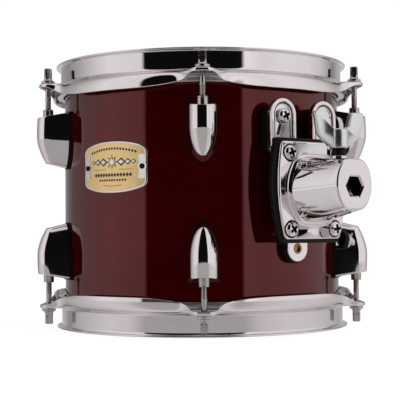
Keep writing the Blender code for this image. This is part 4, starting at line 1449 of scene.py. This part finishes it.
HUB_BOTTOM = 34.1 * MM
HUB_TOP = 49.4 * MM
HUB_RADIUS = 8.0 * MM
BOLT_RADIUS = 4.0 * MM
BOLT_REST_DEG = -3.5
WING_THICKNESS = 6.2 * MM
WING_CORNERS = (
    (4.5, 34.9, 0.2),
    (9.0, 34.9, 2.0),
    (21.8, 43.4, 3.2),
    (25.4, 61.6, 0.9),
    (24.4, 63.3, 0.9),
    (12.8, 63.1, 1.6),
    (8.4, 50.2, 2.4),
    (4.5, 48.9, 0.2),
)
WING_EDGE = ((-1, 0.9), (-0.93, 0.4), (-0.8, 0.1), (-0.6, 0), (0.6, 0), (0.8, 0.1), (0.93, 0.4), (1, 0.9))
WING_TAPER = 0.016


def make_wing(sign):
    """One wing, thinner towards its outer edge, with soft edges."""
    corners = [(x, z) for x, z, _ in WING_CORNERS]
    outline = [(point.x, point.y) for point in rounded(corners, [corner[2] for corner in WING_CORNERS], 6)]
    middle_x = sum(x for x, _ in outline) / len(outline)
    middle_z = sum(z for _, z in outline) / len(outline)
    half = WING_THICKNESS / 2
    loops = []
    for depth, shrink in WING_EDGE:
        loop = []
        for x, z in outline:
            away = Vector((x - middle_x, z - middle_z))
            away *= 1 - shrink / max(away.length, 1)
            thick = half * (1 - WING_TAPER * (middle_x + away.x - WING_CORNERS[0][0]))
            loop.append(Vector((sign * (middle_x + away.x) * MM, depth * thick, (middle_z + away.y) * MM)))
        loops.append(loop)
    return loft("wing", loops, SATIN, True, 32)


def make_sleeve():
    low, high = BOLT_LOW.z - MID_Z, BOLT_HIGH.z - MID_Z
    inner = BOLT_RADIUS + 0.2 * MM
    groove = SLEEVE_RADIUS - 0.4 * MM
    profile = [(inner, low), (SLEEVE_RADIUS, low), (SLEEVE_RADIUS, high - 1.6 * MM)]
    profile += [(groove, high - 1.4 * MM), (groove, high - 1.0 * MM)]
    profile += [(SLEEVE_RADIUS, high - 0.8 * MM), (SLEEVE_RADIUS, high), (inner, high)]
    return turned_ring("sleeve_moulded", rounded(profile, 0.15 * MM, 2), 48, BLACK_RUBBER_AND_SHADE)


def make_wing_bolt():
    """The bolt's shank, hub and two wings in one casting, and the sleeve round it."""
    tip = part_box("wing_bolt")[0].z - MID_Z
    profile = [(0.5 * MM, tip), (BOLT_RADIUS - 0.8 * MM, tip), (BOLT_RADIUS, tip + 0.8 * MM)]
    profile += [(BOLT_RADIUS, HUB_BOTTOM), (HUB_RADIUS - 0.6 * MM, HUB_BOTTOM)]
    profile += [(HUB_RADIUS, HUB_BOTTOM + 0.6 * MM), (HUB_RADIUS, HUB_TOP - 1.2 * MM)]
    profile += [(HUB_RADIUS - 0.35 * MM, HUB_TOP - 0.45 * MM), (HUB_RADIUS - 1.2 * MM, HUB_TOP)]
    profile += [(HUB_RADIUS * 0.5, HUB_TOP + 0.05 * MM), (0.5 * MM, HUB_TOP + 0.1 * MM)]
    bolt = turned_solid("wing_bolt_cast", profile, 64, SATIN, 40)
    for sign in (1, -1):
        cut(bolt, make_wing(sign), operation="UNION")
    place = DRUM_PLACE @ BOLT_PLACE
    bolt.matrix_world = place @ turn_z(BOLT_REST_DEG)
    done(bolt, "wing_bolt", "satin_metal", "wing_bolt")
    sleeve = make_sleeve()
    sleeve.matrix_world = place
    done(sleeve, "clamp", "black_rubber", "bolt_sleeve")


# Hardware inside the shell


def make_inner_hardware():
    """A screw and washer behind each lug's two fixings and behind the mount's three."""
    pattern = make_screw_mesh("inner_screw_pattern", 4.2 * MM, 2.9 * MM, 2.0 * MM, 5.5 * MM)
    profile = rounded(scaled([(2.3, 0), (7.0, 0), (7.0, 1.0), (2.3, 1.0)]), 0.3 * MM, 3)
    washer = turned_ring("washer_pattern", profile, 40, ALUMINIUM)
    spots = []
    for index in range(ROD_COUNT):
        for sign in (1, -1):
            for height in (LUG_TIP_END + 10 * MM, LUG_ROD_END - 11 * MM):
                spots.append((FIRST_ROD_DEG + ROD_STEP_DEG * index, 0, sign * height))
    spots += [(MOUNT_DEG, x, TAB_CENTRE) for x in (TAB_OFFSET, -TAB_OFFSET)]
    spots.append((MOUNT_DEG, 0, LOW_TAB_CENTRE))
    pieces = []
    for number, (angle, x, z) in enumerate(spots):
        angle += math.degrees(math.asin(x / SHELL_INNER))
        turn = (number * 47) % 90
        for part, lift in ((washer, 0.0), (pattern, 1.0 * MM)):
            reach = SHELL_INNER - lift - 0.05 * MM
            pieces.append(set_screw(part, "inner_part", angle, 0, reach, z, turn, True))
    bpy.data.objects.remove(pattern)
    bpy.data.objects.remove(washer)
    bpy.context.view_layer.update()
    done(merge("inner_hardware", pieces), "drum", "plated_steel")


def paint_carried_nodes():
    """The clamp shoe inside the receiver stays the CAD node, in the scene's steel."""
    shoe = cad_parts["clamp_shoe"]
    shoe.data.materials.clear()
    shoe.data.materials.append(STEEL)


# Camera, studio and floor

CAMERA_DEG = -126.58
CAMERA_DISTANCE = 1.0579
CAMERA_HEIGHT = 0.0906
CAMERA_LENS = 101.4
CAMERA_TILT_DEG = 1.38
CAMERA_YAW_DEG = 0.081
CAMERA_ROLL_DEG = 0.422
WALL_LEVELS = (
    (-180, 0.43),
    (180, 0.43),
    (-135, 0.28),
    (-118, 0.40),
    (-93, 0.67),
    (-80, 0.82),
    (-47, 0.76),
    (-45.5, 0.004),
    (33, 0.004),
    (34.5, 0.92),
    (50, 0.77),
    (70, 0.83),
    (95, 0.78),
    (112, 0.65),
    (135, 0.27),
    (151, 0.47),
)
FLOOR_LEVELS = (
    (-180, 0.65),
    (180, 0.65),
    (-150, 0.46),
    (-135, 0.28),
    (-118, 0.48),
    (-78, 0.67),
    (-60, 0.62),
    (-46, 0.40),
    (34, 0.40),
    (46, 0.57),
    (70, 0.66),
    (95, 0.65),
    (126, 0.53),
    (143, 0.42),
)
CEILING_LEVEL = 0.75
FLOOR_ENDS_DEG = (-4.4, -3.7)
CEILING_STARTS_DEG = (60, 72)
FLOOR_HALF = 6.0
FLOOR_DROP = 0.2 * MM
FLOOR_GLOW = 0.82
FLOOR_PAINT = (0.5, 0.5, 0.5, 1)


def make_camera():
    toward = polar(1, CAMERA_DEG, 0)
    data = bpy.data.cameras.new("camera")
    data.lens = CAMERA_LENS
    data.sensor_width = 36
    data.clip_end = 50
    camera = bpy.data.objects.new("camera", data)
    bpy.context.scene.collection.objects.link(camera)
    forward = Matrix.Rotation(math.radians(CAMERA_YAW_DEG), 3, "Z") @ -toward
    right = forward.cross(Vector((0, 0, 1))).normalized()
    forward = Matrix.Rotation(math.radians(CAMERA_TILT_DEG), 3, right) @ forward
    up = right.cross(forward)
    roll = math.radians(CAMERA_ROLL_DEG)
    leaning_up = up * math.cos(roll) + right * math.sin(roll)
    leaning_right = forward.cross(leaning_up)
    turn = Matrix((leaning_right, leaning_up, -forward)).transposed().to_4x4()
    spot = AXIS + toward * CAMERA_DISTANCE + Vector((0, 0, CAMERA_HEIGHT))
    camera.matrix_world = Matrix.Translation(spot) @ turn
    bpy.context.scene.camera = camera


def sweep(tree, share, levels):
    """Brightness by direction, from (degrees round from the camera, level) pairs."""
    ramp = node(tree, "ShaderNodeValToRGB", {"Fac": share})
    stops = ramp.color_ramp.elements
    for index, (degrees, level) in enumerate(levels):
        position = degrees / 360 + 0.5
        stop = stops[index] if index < 2 else stops.new(position)
        stop.position = position
        stop.color = (level, level, level, 1)
    return ramp.outputs["Color"]


def mix_level(tree, factor, first, second):
    """First where the factor is 0, second where it is 1."""
    return node(tree, "ShaderNodeMix", {0: factor, 2: first, 3: second}, data_type="FLOAT").outputs[0]


def make_studio():
    """Two tall soft boxes either side of the front, a pale sweep all round and a dark gap in front."""
    world = bpy.data.worlds.new("studio")
    bpy.context.scene.world = world
    world.use_nodes = True
    tree = world.node_tree
    tree.nodes.clear()
    ray = node(tree, "ShaderNodeTexCoord").outputs["Generated"]
    parts = []
    for turned in (0, 90):
        direction = polar(1, CAMERA_DEG + turned, 0)
        dot = node(tree, "ShaderNodeVectorMath", {0: ray, 1: direction}, operation="DOT_PRODUCT")
        parts.append(dot.outputs["Value"])
    along, across = parts
    turn = maths(tree, "MULTIPLY", maths(tree, "ARCTAN2", across, along), 180 / math.pi)
    height = node(tree, "ShaderNodeSeparateXYZ", {0: ray}).outputs["Z"]
    rise = maths(tree, "MULTIPLY", maths(tree, "ARCSINE", height), 180 / math.pi)

    share = maths(tree, "ADD", maths(tree, "MULTIPLY", turn, 1 / 360), 0.5)
    around = sweep(tree, share, WALL_LEVELS)
    below = sweep(tree, share, FLOOR_LEVELS)
    level = mix_level(tree, span(tree, rise, 0, 1, *FLOOR_ENDS_DEG, True), below, around)
    level = mix_level(tree, span(tree, rise, 0, 1, *CEILING_STARTS_DEG, True), level, CEILING_LEVEL)
    lit = node(tree, "ShaderNodeBackground", {"Color": (1.0, 0.985, 0.985, 1), "Strength": level})
    plain = node(tree, "ShaderNodeBackground", {"Color": (1, 1, 1, 1), "Strength": 1.0})
    seen = node(tree, "ShaderNodeLightPath").outputs["Is Camera Ray"]
    mixed = node(tree, "ShaderNodeMixShader", {0: seen, 1: lit.outputs[0], 2: plain.outputs[0]})
    node(tree, "ShaderNodeOutputWorld", {"Surface": mixed.outputs[0]})


def make_floor():
    """A pale floor that lights the drum from below only directly, and is clear from underneath."""
    material = bpy.data.materials.new("pale_floor")
    material.use_nodes = True
    tree = material.node_tree
    tree.nodes.clear()
    glow = node(tree, "ShaderNodeEmission", {"Color": (1, 1, 1, 1), "Strength": FLOOR_GLOW})
    paint = node(tree, "ShaderNodeBsdfDiffuse", {"Color": FLOOR_PAINT})
    both = node(tree, "ShaderNodeAddShader", {0: glow.outputs[0], 1: paint.outputs[0]})
    clear = node(tree, "ShaderNodeBsdfTransparent")
    behind = node(tree, "ShaderNodeNewGeometry").outputs["Backfacing"]
    one_way = node(tree, "ShaderNodeMixShader", {0: behind, 1: both.outputs[0], 2: clear.outputs[0]})
    node(tree, "ShaderNodeOutputMaterial", {"Surface": one_way.outputs[0]})
    corners = ((-1, -1), (1, -1), (1, 1), (-1, 1))
    points = [Vector((x * FLOOR_HALF, y * FLOOR_HALF, 0)) for x, y in corners]
    floor = make_mesh("floor", points, [(0, 1, 2, 3)], material)
    floor.location.z = -FLOOR_DROP
    floor.visible_glossy = False
    floor.visible_diffuse = False


def main():
    bpy.context.scene.view_settings.view_transform = "Standard"
    make_shell()
    make_grommet()
    for side, upside_down in (("batter", False), ("resonant", True)):
        make_hoop(side, upside_down)
        make_head(side, upside_down)
    make_lugs_and_rods()
    make_badge()
    make_seat()
    make_bracket()
    make_receiver_gasket()
    make_receiver()
    make_mount_screws()
    make_wing_bolt()
    make_inner_hardware()
    paint_carried_nodes()
    make_camera()
    make_studio()
    make_floor()


main()
